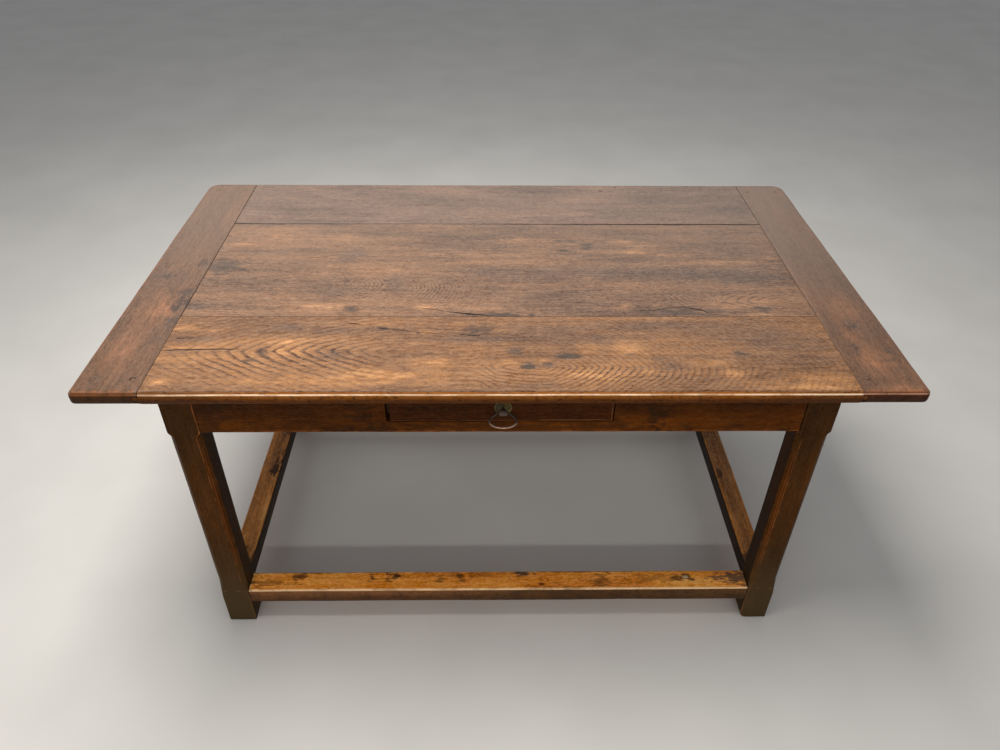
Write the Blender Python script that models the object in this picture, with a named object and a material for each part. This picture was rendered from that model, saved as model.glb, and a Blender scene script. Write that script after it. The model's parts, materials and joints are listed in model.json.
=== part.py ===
"""Old oak farmhouse table with one drawer, modelled as it would come apart on a bench.

Metres, +Z up. The origin lies on the floor under the centre of the top. +X is the right hand of
someone who faces the drawer, and -Y is the drawer side.
"""
import math

import bmesh
import bpy
from mathutils import Matrix, Vector

# Overall sizes
TABLE_HEIGHT = 0.750
TOP_LENGTH = 1.520
TOP_DEPTH = 0.890
TOP_THICKNESS = 0.026
END_OVERHANG = 0.117
SIDE_OVERHANG = 0.069

# Fits
FIT = 0.0003                    # gap that a fixed face keeps to its neighbour
OVERRUN = 0.010                 # how far a cutter passes the face that it opens
PEG_SIDES = 12

# Top boards and cleats
CLEAT_WIDTH = 0.124
FRONT_BOARD_WIDTH = 0.245
BACK_BOARD_WIDTH = 0.235
UPPER_ARRIS_RADIUS = 0.008
UNDER_ARRIS_RADIUS = 0.007
ARRIS_STEPS = 3
FRONT_CORNER_RADIUS = 0.012
BACK_CORNER_RADIUS = 0.030
CORNER_STEPS = 5
TONGUE_THICKNESS = 0.0085
EDGE_TONGUE_LENGTH = 0.008      # tongues along the middle board's long edges
END_TONGUE_LENGTH = 0.010       # tongues on the board ends, let into the cleats
CLEAT_TENON_WIDTH = 0.060
CLEAT_TENON_COVER = 0.019       # wood between a tenon's tip and the cleat's outer edge
OUTER_TENON_INSET = 0.0425      # an outer tenon's centre line to the top's long edge
CLEAT_PEG_DIAMETER = 0.010
PEG_FROM_SEAM = 0.0206
PEG_FROM_TENON_TIP = 0.013

# Legs
LEG_SECTION = 0.063
CHAMFER = 0.010
UPPER_STOP_RUN = 0.013          # the chamfer dies out over this length, up to the apron
LOWER_STOP_RUN = 0.050
LOWER_STOP_DROP = 0.023         # its lower end, below the top of the stretchers
STOP_PASS_SHARE = 0.1           # the chamfer cutter passes the leg's arris by this share
FOOT_ROUND = 0.004
FOOT_ROUND_STEPS = 2
FOOT_WEAR = 0.018               # the right front foot's inner edge is worn round
FOOT_WEAR_STEPS = 4

# Aprons
APRON_HEIGHT = 0.1257
APRON_THICKNESS = 0.025
APRON_SETBACK = 0.0008          # the aprons lie this far behind the leg faces
APRON_TENON_THICKNESS = 0.009
APRON_TENON_COVER = 0.004       # wood between the two tenons that meet in a leg
APRON_TENON_UPPER_SHOULDER = 0.014
APRON_TENON_LOWER_SHOULDER = 0.008

# Stretchers
STRETCHER_HEIGHT = 0.045
STRETCHER_WIDTH = 0.053
STRETCHER_CLEARANCE = 0.068     # floor to the underside
STRETCHER_ROUND = 0.004
STRETCHER_ROUND_STEPS = 2
STRETCHER_TENON_THICKNESS = 0.016
STRETCHER_TENON_SHOULDER = 0.006
STRETCHER_TENON_COVER = 0.0025

# Buttons that hold the top down, and their screws
BUTTON_LENGTH = 0.045
BUTTON_REACH = 0.034            # out from the apron's inner face
BUTTON_THICKNESS = 0.016
BUTTON_TONGUE_THICKNESS = 0.008
BUTTON_TONGUE_LENGTH = 0.009
BUTTON_X = 0.400                # front and rear buttons; the side ones are midway
SCREW_FROM_APRON = 0.018
SCREW_LENGTH = 0.031
SCREW_SHANK_DIAMETER = 0.0036
SCREW_HEAD_DIAMETER = 0.008
SCREW_HEAD_DEPTH = 0.0032
SCREW_TIP_LENGTH = 0.006

# Drawer opening in the front apron
RAIL_HEIGHT = 0.0275            # apron left under the opening
STRIP_HEIGHT = 0.0237           # apron left above it
OPENING_WIDTH = 0.4347
OPENING_SHIFT = -0.0028         # the opening's centre, from the table's centre line
DRAWER_LEFT_GAP = 0.0065
DRAWER_RIGHT_GAP = 0.0015
DRAWER_TOP_GAP = 0.0010
FRONT_LIFT = 0.0008             # the drawer front's lower edge, above the sides' lower edges

# Drawer
ROOM_BEHIND_DRAWER = 0.232
DRAWER_PROUD = 0.003
DRAWER_FRONT_THICKNESS = 0.021
DRAWER_FRONT_ROUND = 0.005
DRAWER_FRONT_ROUND_STEPS = 3
SIDE_THICKNESS = 0.010
SIDE_TOP_GAP = 0.0025           # the sides' upper edges, below the opening's top
BACK_THICKNESS = 0.010
BACK_DROP = 0.004               # the back's upper edge, below the sides'
BOTTOM_THICKNESS = 0.0065
BOTTOM_RAISE = 0.007            # the bottom panel, above the sides' lower edges
GROOVE_DEPTH = 0.005
TAIL_COUNT = 2
TAIL_LENGTH = 0.014             # front dovetails; the back ones are as long as the back is thick
TAIL_FLARE_SHARE = 0.14
PIN_WIDTH = 0.006
NAIL_COUNT = 2
NAIL_DIAMETER = 0.0022
NAIL_LENGTH = 0.024
NAIL_HEAD_DIAMETER = 0.005
NAIL_HEAD_THICKNESS = 0.0008
NAIL_SIDES = 8

# What carries the drawer
GUIDE_CLEARANCE = 0.0010
GUIDE_WIDTH = 0.016
GUIDE_HEIGHT = 0.024
RUNNER_INSIDE = 0.006           # the runner's inner edge, past the drawer side's inner face
RUNNER_HEIGHT = 0.020
KICKER_CLEARANCE = 0.0015
STUB_LENGTH = 0.008             # tenons of the runners and kickers, let into the aprons
STUB_SHOULDER = 0.004
STOP_LENGTH = 0.025
STOP_HEIGHT = 0.012

# Ring pull
PULL_SHIFT = 0.0027             # from the drawer front's middle
ROSE_DIAMETER = 0.034
ROSE_EDGE = 0.0012
ROSE_HEIGHT = 0.0035
ROSE_SEGMENTS = 24
PIVOT_OUT = 0.016               # the ring's axis, in front of the drawer face
KNUCKLE_LENGTH = 0.016
KNUCKLE_DIAMETER = 0.0125
KNUCKLE_SEGMENTS = 16
NECK_DIAMETER = 0.0085
SHANK_DIAMETER = 0.006
SHANK_SPARE = 0.003             # the shank's end, behind its nut
NUT_WIDTH = 0.012
NUT_THICKNESS = 0.004
RING_WIRE = 0.004
RING_RUNNING_GAP = 0.00045
RING_HALF_WIDTH = 0.026
RING_DROP = 0.0372
RING_WIDEST_DROP = 0.021
RING_STRAIGHT_PAST_KNUCKLE = 0.0015

# Places that follow from the sizes
HALF_LENGTH = TOP_LENGTH / 2
HALF_DEPTH = TOP_DEPTH / 2
UNDERSIDE = TABLE_HEIGHT - TOP_THICKNESS
TOP_MIDDLE = UNDERSIDE + TOP_THICKNESS / 2
SEAM_X = HALF_LENGTH - CLEAT_WIDTH
FRONT_SEAM_Y = FRONT_BOARD_WIDTH - HALF_DEPTH
BACK_SEAM_Y = HALF_DEPTH - BACK_BOARD_WIDTH
TENON_LENGTH = CLEAT_WIDTH - CLEAT_TENON_COVER
TENON_CENTRES = (
    OUTER_TENON_INSET - HALF_DEPTH,
    (FRONT_SEAM_Y + BACK_SEAM_Y) / 2,
    HALF_DEPTH - OUTER_TENON_INSET,
)
PEG_ROWS = (SEAM_X + PEG_FROM_SEAM, SEAM_X + TENON_LENGTH - PEG_FROM_TENON_TIP)

FRAME_X = HALF_LENGTH - END_OVERHANG
FRAME_Y = HALF_DEPTH - SIDE_OVERHANG
FRAME_TOP = UNDERSIDE - FIT
LEG_INNER_X = FRAME_X - LEG_SECTION
LEG_INNER_Y = FRAME_Y - LEG_SECTION
APRON_BOTTOM = FRAME_TOP - APRON_HEIGHT
APRON_FACE_X = FRAME_X - APRON_SETBACK
APRON_FACE_Y = FRAME_Y - APRON_SETBACK
APRON_BACK_X = APRON_FACE_X - APRON_THICKNESS
APRON_BACK_Y = APRON_FACE_Y - APRON_THICKNESS
APRON_TENON_INSET = APRON_SETBACK + (APRON_THICKNESS - APRON_TENON_THICKNESS) / 2
APRON_TENON_LENGTH = LEG_SECTION - APRON_TENON_INSET - APRON_TENON_THICKNESS - APRON_TENON_COVER
STRETCHER_TOP = STRETCHER_CLEARANCE + STRETCHER_HEIGHT
STRETCHER_TENON_INSET = (STRETCHER_WIDTH - STRETCHER_TENON_THICKNESS) / 2
STRETCHER_TENON_LENGTH = (LEG_SECTION - STRETCHER_TENON_INSET - STRETCHER_TENON_THICKNESS
                          - STRETCHER_TENON_COVER)

OPENING_LEFT = OPENING_SHIFT - OPENING_WIDTH / 2
OPENING_RIGHT = OPENING_SHIFT + OPENING_WIDTH / 2
OPENING_BOTTOM = APRON_BOTTOM + RAIL_HEIGHT
OPENING_TOP = FRAME_TOP - STRIP_HEIGHT
DRAWER_LEFT = OPENING_LEFT + DRAWER_LEFT_GAP
DRAWER_RIGHT = OPENING_RIGHT - DRAWER_RIGHT_GAP
DRAWER_FACE_Y = -APRON_FACE_Y - DRAWER_PROUD
DRAWER_FRONT_BACK_Y = DRAWER_FACE_Y + DRAWER_FRONT_THICKNESS
DRAWER_END_Y = FRAME_Y - ROOM_BEHIND_DRAWER
SIDE_BOTTOM = OPENING_BOTTOM + FIT
SIDE_TOP = OPENING_TOP - SIDE_TOP_GAP
DRAWER_FRONT_BOTTOM = SIDE_BOTTOM + FRONT_LIFT
DRAWER_FRONT_TOP = OPENING_TOP - DRAWER_TOP_GAP
PANEL_BOTTOM = SIDE_BOTTOM + BOTTOM_RAISE
PANEL_TOP = PANEL_BOTTOM + BOTTOM_THICKNESS
BACK_FACE_Y = DRAWER_END_Y - BACK_THICKNESS
BACK_TOP = SIDE_TOP - BACK_DROP
KICKER_BOTTOM = SIDE_TOP + KICKER_CLEARANCE

PULL_X = (DRAWER_LEFT + DRAWER_RIGHT) / 2 + PULL_SHIFT
PULL_Z = (DRAWER_FRONT_BOTTOM + DRAWER_FRONT_TOP) / 2
PIVOT = Vector((PULL_X, DRAWER_FACE_Y - PIVOT_OUT, PULL_Z))

SIDES = (("left", -1), ("right", 1))
ENDS = (("front", -1), ("rear", 1))

# Finishes: base colour, roughness, metallic
FINISHES = {
    "waxed_oak_top": ((0.235, 0.125, 0.062), 0.42, 0.0),
    "waxed_oak_cleat": ((0.185, 0.088, 0.050), 0.42, 0.0),
    "dark_oak_frame": ((0.062, 0.030, 0.015), 0.50, 0.0),
    "worn_oak_stretcher": ((0.290, 0.135, 0.048), 0.45, 0.0),
    "oak_peg": ((0.110, 0.060, 0.035), 0.55, 0.0),
    "drawer_oak": ((0.250, 0.160, 0.090), 0.65, 0.0),
    "aged_brass": ((0.230, 0.185, 0.070), 0.45, 1.0),
    "worn_iron": ((0.170, 0.145, 0.125), 0.40, 1.0),
}


def clear_scene():
    for item in list(bpy.data.objects):
        bpy.data.objects.remove(item, do_unlink=True)


def finish_material(piece_name, finish):
    """A piece's own material, in that finish."""
    colour, roughness, metallic = FINISHES[finish]
    material = bpy.data.materials.new(piece_name)
    material.use_nodes = True
    shader = material.node_tree.nodes["Principled BSDF"]
    shader.inputs["Base Color"].default_value = (*colour, 1)
    shader.inputs["Roughness"].default_value = roughness
    shader.inputs["Metallic"].default_value = metallic
    material.diffuse_color = (*colour, 1)
    return material


def link_object(name, data, origin=(0, 0, 0), parent=None):
    """Puts data in the scene, with its origin at a world point and an optional parent empty."""
    item = bpy.data.objects.new(name, data)
    bpy.context.scene.collection.objects.link(item)
    item.location = origin
    if parent:
        item.parent = parent
        item.location = Vector(origin) - parent_place(parent)
    return item


def parent_place(empty):
    """An empty's world position, through its own parents."""
    place = Vector(empty.location)
    while empty.parent:
        empty = empty.parent
        place += empty.location
    return place


def joint_empty(name, place, parent=None):
    return link_object(name, None, place, parent)


def piece(name, bm, finish, origin=(0, 0, 0), parent=None, smooth=False):
    """Turns a bmesh in world coordinates into a named object with its finish."""
    bmesh.ops.recalc_face_normals(bm, faces=bm.faces)
    bmesh.ops.translate(bm, verts=bm.verts, vec=-Vector(origin))
    mesh = bpy.data.meshes.new(name)
    bm.to_mesh(mesh)
    bm.free()
    mesh.materials.append(finish_material(name, finish))
    if smooth:
        mesh.shade_smooth()
        mesh.set_sharp_from_angle(angle=math.radians(40))
    return link_object(name, mesh, origin, parent)


def guide(name, bm):
    """A cutter, or the half of a union that isn't a piece by itself."""
    bmesh.ops.recalc_face_normals(bm, faces=bm.faces)
    mesh = bpy.data.meshes.new(name)
    bm.to_mesh(mesh)
    bm.free()
    item = link_object(name, mesh)
    item.hide_render = True
    item.display_type = "WIRE"
    return item


def combine(target, operation, *guides):
    for item in guides:
        modifier = target.modifiers.new(item.name, "BOOLEAN")
        modifier.operation = operation
        modifier.solver = "EXACT"
        modifier.object = item


def cut(target, *guides):
    combine(target, "DIFFERENCE", *guides)


def join(target, *guides):
    combine(target, "UNION", *guides)


def add_block(bm, corner, opposite):
    """A box between two opposite corners, in any order."""
    low = Vector([min(pair) for pair in zip(corner, opposite)])
    high = Vector([max(pair) for pair in zip(corner, opposite)])
    size = Matrix.Diagonal((*(high - low), 1))
    bmesh.ops.create_cube(bm, size=1, matrix=Matrix.Translation((low + high) / 2) @ size)


def blocks(*corners):
    """A bmesh of separate boxes, from pairs of opposite corners."""
    bm = bmesh.new()
    for corner, opposite in corners:
        add_block(bm, corner, opposite)
    return bm


def grown(box, margin):
    """The same box, larger by margin on every side."""
    corner, opposite = box
    low = Vector([min(pair) for pair in zip(corner, opposite)])
    high = Vector([max(pair) for pair in zip(corner, opposite)])
    edge = Vector((margin, margin, margin))
    return low - edge, high + edge


def add_rod(bm, start, end, radius, sides=PEG_SIDES):
    """A round bar between two points."""
    start, end = Vector(start), Vector(end)
    turn = Vector((0, 0, 1)).rotation_difference(end - start).to_matrix().to_4x4()
    bmesh.ops.create_cone(bm, cap_ends=True, segments=sides, radius1=radius, radius2=radius,
                          depth=(end - start).length,
                          matrix=Matrix.Translation((start + end) / 2) @ turn)


def add_prism(bm, outline, place, sweep):
    """An outline of 2-D points, put in space by place(a, b), extruded along sweep."""
    face = bm.faces.new([bm.verts.new(place(a, b)) for a, b in outline])
    extruded = bmesh.ops.extrude_face_region(bm, geom=[face])["geom"]
    moved = [item for item in extruded if isinstance(item, bmesh.types.BMVert)]
    bmesh.ops.translate(bm, verts=moved, vec=sweep)


def add_turned(bm, profile, matrix, segments, closed=False):
    """A profile of (radius, height) points turned round +Z, then placed by matrix."""
    points = [bm.verts.new((radius, 0, height)) for radius, height in profile]
    pairs = list(zip(points, points[1:]))
    if closed:
        pairs.append((points[-1], points[0]))
    edges = [bm.edges.new(pair) for pair in pairs]
    bmesh.ops.spin(bm, geom=points + edges, cent=(0, 0, 0), axis=(0, 0, 1), dvec=(0, 0, 0),
                   angle=math.tau, steps=segments, use_merge=True)
    bmesh.ops.remove_doubles(bm, verts=bm.verts, dist=FIT / 10)
    bmesh.ops.transform(bm, verts=bm.verts, matrix=matrix)


def round_edges(bm, chosen, radius, steps):
    """Rounds the edges whose two ends both pass the test."""
    edges = [edge for edge in bm.edges if all(chosen(vertex.co) for vertex in edge.verts)]
    bmesh.ops.bevel(bm, geom=edges, offset=radius, offset_type="OFFSET", segments=steps,
                    profile=0.5, affect="EDGES", clamp_overlap=True, material=-1)


def near(value, wanted):
    return abs(value - wanted) < FIT / 2


# Top: three boards between two cleats

def tongue_plate(name, y_low, y_high, centres):
    """The plate of a board's tongues and tenons, which runs through the board from end to end."""
    tongue_tip = SEAM_X + END_TONGUE_LENGTH - FIT
    tenon_tip = SEAM_X + TENON_LENGTH - FIT
    half = CLEAT_TENON_WIDTH / 2
    right = [(tongue_tip, y_low)]
    for centre in centres:
        right += [(tongue_tip, centre - half), (tenon_tip, centre - half),
                  (tenon_tip, centre + half), (tongue_tip, centre + half)]
    right.append((tongue_tip, y_high))
    left = [(-x, y) for x, y in reversed(right)]
    bm = bmesh.new()
    bottom = TOP_MIDDLE - TONGUE_THICKNESS / 2
    add_prism(bm, right + left, lambda x, y: (x, y, bottom), (0, 0, TONGUE_THICKNESS))
    return guide(name, bm)


def board_body(y_low, y_high, outer=None):
    """A board between the cleats, with the arrises of its outer long edge rounded."""
    end = SEAM_X - FIT
    bm = blocks(((-end, y_low, UNDERSIDE), (end, y_high, TABLE_HEIGHT)))
    if outer is not None:
        round_edges(bm, lambda v: near(v.y, outer) and near(v.z, TABLE_HEIGHT),
                    UPPER_ARRIS_RADIUS, ARRIS_STEPS)
        round_edges(bm, lambda v: near(v.y, outer) and near(v.z, UNDERSIDE),
                    UNDER_ARRIS_RADIUS, ARRIS_STEPS)
    return bm


def edge_groove(name, seam, inward):
    """The groove that takes an edge tongue. inward is +1 or -1 along Y, into the board."""
    half = TONGUE_THICKNESS / 2 + FIT
    reach = SEAM_X + TENON_LENGTH + OVERRUN
    return guide(name, blocks((
        (-reach, seam - inward * OVERRUN, TOP_MIDDLE - half),
        (reach, seam + inward * EDGE_TONGUE_LENGTH, TOP_MIDDLE + half))))


def cleat(name, side):
    """A cleat across the board ends. side is -1 on the left and +1 on the right."""
    inner, outer = side * SEAM_X, side * HALF_LENGTH
    bm = blocks(((inner, -HALF_DEPTH, UNDERSIDE), (outer, HALF_DEPTH, TABLE_HEIGHT)))
    for edge_y, radius in ((-HALF_DEPTH, FRONT_CORNER_RADIUS), (HALF_DEPTH, BACK_CORNER_RADIUS)):
        round_edges(bm, lambda v: near(v.x, outer) and near(v.y, edge_y), radius, CORNER_STEPS)

    for level, radius in ((TABLE_HEIGHT, UPPER_ARRIS_RADIUS), (UNDERSIDE, UNDER_ARRIS_RADIUS)):
        edges = [edge for edge in bm.edges
                 if all(near(v.co.z, level) for v in edge.verts)
                 and not all(near(v.co.x, inner) for v in edge.verts)]
        bmesh.ops.bevel(bm, geom=edges, offset=radius, offset_type="OFFSET",
                        segments=ARRIS_STEPS, profile=0.5, affect="EDGES", clamp_overlap=True,
                        material=-1)
    return piece(name, bm, "waxed_oak_cleat", (outer, 0, TABLE_HEIGHT))


def cleat_slots():
    """The groove and mortises of both cleats, as one comb-shaped cutter for each."""
    half = CLEAT_TENON_WIDTH / 2 + FIT
    reach = HALF_DEPTH + OVERRUN
    groove = SEAM_X + END_TONGUE_LENGTH
    mortise = SEAM_X + TENON_LENGTH
    comb = [(SEAM_X - OVERRUN, -reach), (groove, -reach)]
    for centre in TENON_CENTRES:
        comb += [(groove, centre - half), (mortise, centre - half),
                 (mortise, centre + half), (groove, centre + half)]
    comb += [(groove, reach), (SEAM_X - OVERRUN, reach)]
    bottom = TOP_MIDDLE - TONGUE_THICKNESS / 2 - FIT
    bm = bmesh.new()
    for side in (-1, 1):
        add_prism(bm, comb, lambda x, y: (side * x, y, bottom),
                  (0, 0, TONGUE_THICKNESS + FIT + FIT))
    return guide("cleat_slots", bm)


def cleat_pegs():
    """A peg through each cleat tenon near its root and one near its tip. Returns their holes."""
    holes = bmesh.new()
    for side_word, side in SIDES:
        for row_word, row in zip(("inner", "outer"), PEG_ROWS):
            for board_word, y in zip(("front", "middle", "back"), TENON_CENTRES):
                x = side * row
                peg = bmesh.new()
                add_rod(peg, (x, y, UNDERSIDE), (x, y, TABLE_HEIGHT), CLEAT_PEG_DIAMETER / 2)
                piece(f"cleat_peg_{side_word}_{board_word}_{row_word}", peg, "oak_peg",
                      (x, y, TABLE_HEIGHT))
                add_rod(holes, (x, y, UNDERSIDE - OVERRUN), (x, y, TABLE_HEIGHT + OVERRUN),
                        CLEAT_PEG_DIAMETER / 2 + FIT)
    return guide("cleat_peg_holes", holes)


def build_top(screw_holes):
    """The five pieces of the top and their pegs."""
    front = piece("top_board_front", board_body(-HALF_DEPTH, FRONT_SEAM_Y, -HALF_DEPTH),
                  "waxed_oak_top", (0, -HALF_DEPTH, TABLE_HEIGHT))
    middle = piece("top_board_middle", board_body(FRONT_SEAM_Y + FIT, BACK_SEAM_Y - FIT),
                   "waxed_oak_top", (0, 0, TABLE_HEIGHT))
    back = piece("top_board_back", board_body(BACK_SEAM_Y, HALF_DEPTH, HALF_DEPTH),
                 "waxed_oak_top", (0, HALF_DEPTH, TABLE_HEIGHT))
    join(front, tongue_plate("front_tongues", FIT - HALF_DEPTH,
                             FRONT_SEAM_Y - EDGE_TONGUE_LENGTH - FIT, TENON_CENTRES[:1]))
    join(middle, tongue_plate("middle_tongues", FRONT_SEAM_Y - EDGE_TONGUE_LENGTH + FIT,
                              BACK_SEAM_Y + EDGE_TONGUE_LENGTH - FIT, TENON_CENTRES[1:2]))
    join(back, tongue_plate("back_tongues", BACK_SEAM_Y + EDGE_TONGUE_LENGTH + FIT,
                            HALF_DEPTH - FIT, TENON_CENTRES[2:]))
    cut(front, edge_groove("front_edge_groove", FRONT_SEAM_Y, -1))
    cut(back, edge_groove("back_edge_groove", BACK_SEAM_Y, 1))
    left = cleat("cleat_left", -1)
    right = cleat("cleat_right", 1)
    slots = cleat_slots()
    cut(left, slots)
    cut(right, slots)

    peg_holes = cleat_pegs()
    for item in (front, middle, back, left, right):
        cut(item, peg_holes, screw_holes)


# Frame: legs, aprons and stretchers

def apron_plate(side, along_x):
    """The tenons of an apron as one bar. side is -1 at the front or left, +1 at the back or right."""
    face = FRAME_Y if along_x else FRAME_X
    inner = LEG_INNER_X if along_x else LEG_INNER_Y
    reach = inner + APRON_TENON_LENGTH - FIT
    outer = side * (face - APRON_TENON_INSET)
    deep = side * (face - APRON_TENON_INSET - APRON_TENON_THICKNESS)
    low = APRON_BOTTOM + APRON_TENON_LOWER_SHOULDER
    high = FRAME_TOP - APRON_TENON_UPPER_SHOULDER
    if along_x:
        return (-reach, outer, low), (reach, deep, high)
    return (outer, -reach, low), (deep, reach, high)


def stretcher_plate(side, along_x):
    """The tenons of a stretcher as one bar."""
    face = FRAME_Y if along_x else FRAME_X
    inner = LEG_INNER_X if along_x else LEG_INNER_Y
    reach = inner + STRETCHER_TENON_LENGTH - FIT
    outer = side * (face - STRETCHER_TENON_INSET)
    deep = side * (face - STRETCHER_TENON_INSET - STRETCHER_TENON_THICKNESS)
    low = STRETCHER_CLEARANCE + STRETCHER_TENON_SHOULDER
    high = STRETCHER_TOP - STRETCHER_TENON_SHOULDER
    if along_x:
        return (-reach, outer, low), (reach, deep, high)
    return (outer, -reach, low), (deep, reach, high)


def bar(name, side, along_x, face, thickness, low, high, plate, finish, rounding=None):
    """A rail between two legs, with its tenons. face is its outer face's distance from the centre."""
    inner = (LEG_INNER_X if along_x else LEG_INNER_Y) - FIT
    outer, deep = side * face, side * (face - thickness)
    if along_x:
        bm = blocks(((-inner, outer, low), (inner, deep, high)))
        origin = (0, outer, low)
    else:
        bm = blocks(((outer, -inner, low), (deep, inner, high)))
        origin = (outer, 0, low)
    if rounding:
        radius, steps = rounding
        long_axis = 0 if along_x else 1
        edges = [edge for edge in bm.edges
                 if not near(edge.verts[0].co[long_axis], edge.verts[1].co[long_axis])]
        bmesh.ops.bevel(bm, geom=edges, offset=radius, offset_type="OFFSET", segments=steps,
                        profile=0.5, affect="EDGES", clamp_overlap=True, material=-1)
    item = piece(name, bm, finish, origin)
    join(item, guide(name + "_tenons", blocks(plate)))
    return item


def chamfer_cutter(side, end):
    """Stopped chamfers on a leg's four arrises, each a wedge whose ends slope out."""
    bottom = STRETCHER_TOP - LOWER_STOP_DROP
    levels = (
        (bottom - LOWER_STOP_RUN * STOP_PASS_SHARE, -CHAMFER * STOP_PASS_SHARE),
        (bottom + LOWER_STOP_RUN, CHAMFER),
        (APRON_BOTTOM - UPPER_STOP_RUN, CHAMFER),
        (APRON_BOTTOM + UPPER_STOP_RUN * STOP_PASS_SHARE, -CHAMFER * STOP_PASS_SHARE),
    )
    bm = bmesh.new()
    for x, inward_x in ((side * FRAME_X, -side), (side * LEG_INNER_X, side)):
        for y, inward_y in ((end * FRAME_Y, -end), (end * LEG_INNER_Y, end)):
            corners = []
            for z, depth in levels:
                for u, v in ((depth + OVERRUN, -OVERRUN), (-OVERRUN, depth + OVERRUN),
                             (-OVERRUN, -OVERRUN)):
                    corners.append(bm.verts.new((x + inward_x * u, y + inward_y * v, z)))
            bmesh.ops.convex_hull(bm, input=corners)
    return guide("leg_chamfers", bm)


def leg(name, side, end, mortises, worn):
    """A leg. side is -1 on the left, end is -1 at the front."""
    bm = blocks(((side * LEG_INNER_X, end * LEG_INNER_Y, 0), (side * FRAME_X, end * FRAME_Y, FRAME_TOP)))
    if worn:
        round_edges(bm, lambda v: near(v.z, 0) and near(v.x, side * LEG_INNER_X),
                    FOOT_WEAR, FOOT_WEAR_STEPS)
    round_edges(bm, lambda v: near(v.z, 0), FOOT_ROUND, FOOT_ROUND_STEPS)
    item = piece(name, bm, "dark_oak_frame", (side * FRAME_X, end * FRAME_Y, 0))
    cut(item, mortises, chamfer_cutter(side, end))


def runner_boxes():
    """Runner, guide, kicker and stop boxes on each side of the drawer, keyed by side name."""
    found = {}
    for word, side, face in (("left", -1, DRAWER_LEFT), ("right", 1, DRAWER_RIGHT)):
        guide_inner = face + side * GUIDE_CLEARANCE
        guide_outer = guide_inner + side * GUIDE_WIDTH
        inner = face - side * (SIDE_THICKNESS + RUNNER_INSIDE)
        reach = APRON_BACK_Y - FIT
        runner_low = OPENING_BOTTOM - RUNNER_HEIGHT
        stub = reach + STUB_LENGTH
        inset = side * STUB_SHOULDER
        found[word] = {
            "runner": ((guide_outer, -reach, runner_low), (inner, reach, OPENING_BOTTOM)),
            "runner_stub": ((guide_outer - inset, -stub, runner_low + STUB_SHOULDER),
                            (inner + inset, stub, OPENING_BOTTOM - STUB_SHOULDER)),
            "guide": ((guide_outer, -reach, SIDE_BOTTOM),
                      (guide_inner, reach, SIDE_BOTTOM + GUIDE_HEIGHT)),
            "kicker": ((guide_outer, -reach, KICKER_BOTTOM), (inner, reach, FRAME_TOP)),
            "kicker_stub": ((guide_outer - inset, -stub, KICKER_BOTTOM + STUB_SHOULDER),
                            (inner + inset, stub, FRAME_TOP - STUB_SHOULDER)),
            "stop": ((face, DRAWER_END_Y + FIT, SIDE_BOTTOM),
                     (inner + inset, DRAWER_END_Y + FIT + STOP_LENGTH, SIDE_BOTTOM + STOP_HEIGHT)),
        }
    return found


def build_drawer_supports(found):
    """Runners under the drawer sides, guides beside them, kickers above and stops behind."""
    for word, boxes in found.items():
        for part in ("runner", "kicker"):
            item = piece(f"drawer_{part}_{word}", blocks(boxes[part]), "drawer_oak")
            join(item, guide(f"{part}_stub_{word}", blocks(boxes[part + "_stub"])))
        piece("drawer_guide_" + word, blocks(boxes["guide"]), "drawer_oak")
        piece("drawer_stop_" + word, blocks(boxes["stop"]), "drawer_oak")
    stubs = [grown(boxes[part], FIT) for boxes in found.values()
             for part in ("runner_stub", "kicker_stub")]
    return guide("stub_mortises", blocks(*stubs))


def button_places():
    """Each button's name, its anchor on an apron's inner face, and the way out to the apron."""
    places = []
    for end_word, end in ENDS:
        for side_word, side in SIDES:
            places.append((f"{end_word}_{side_word}", Vector((side * BUTTON_X, end * APRON_BACK_Y, 0)),
                           Vector((0, end, 0))))
    for side_word, side in SIDES:
        places.append((side_word, Vector((side * APRON_BACK_X, 0, 0)), Vector((side, 0, 0))))
    return places


def screw_profile(margin):
    """A countersunk screw from its head, at height 0, to its tip."""
    shank = SCREW_SHANK_DIAMETER / 2 + margin
    head = SCREW_HEAD_DIAMETER / 2 + margin
    return [(0, -margin), (head, -margin), (shank, SCREW_HEAD_DEPTH),
            (shank, SCREW_LENGTH - SCREW_TIP_LENGTH), (0, SCREW_LENGTH + margin)]


def build_buttons():
    """Buttons and screws that hold the top down. Returns the slots and the screw holes."""
    button_low = FRAME_TOP - BUTTON_THICKNESS
    tongue_high = button_low + BUTTON_TONGUE_THICKNESS
    half = BUTTON_LENGTH / 2
    up = Vector((0, 0, 1))
    slots, screw_holes = [], bmesh.new()
    for _, anchor, outward in button_places():
        along = outward.cross(up)
        slot_tip = anchor + outward * BUTTON_TONGUE_LENGTH
        slots.append(grown((anchor - outward * OVERRUN - along * half + up * button_low,
                            slot_tip + along * half + up * tongue_high), FIT))
        place = anchor - outward * SCREW_FROM_APRON + up * button_low
        add_turned_copy(screw_holes, screw_profile(FIT), place, PEG_SIDES)
    holes = guide("button_screw_holes", screw_holes)

    for word, anchor, outward in button_places():
        along = outward.cross(up)
        body = (anchor - outward * FIT - along * half + up * button_low,
                anchor - outward * BUTTON_REACH + along * half + up * FRAME_TOP)
        tongue = (anchor - outward * SCREW_FROM_APRON - along * (half - FIT)
                  + up * (button_low + FIT),
                  anchor + outward * BUTTON_TONGUE_LENGTH + along * (half - FIT)
                  + up * tongue_high)
        place = anchor - outward * SCREW_FROM_APRON + up * button_low
        button = piece("top_button_" + word, blocks(body), "drawer_oak", place)
        join(button, guide("button_tongue", blocks(tongue)))
        cut(button, holes)
        screw = bmesh.new()
        add_turned_copy(screw, screw_profile(0), place, PEG_SIDES)
        piece("button_screw_" + word, screw, "worn_iron", place)
    return guide("button_slots", blocks(*slots)), holes


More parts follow.
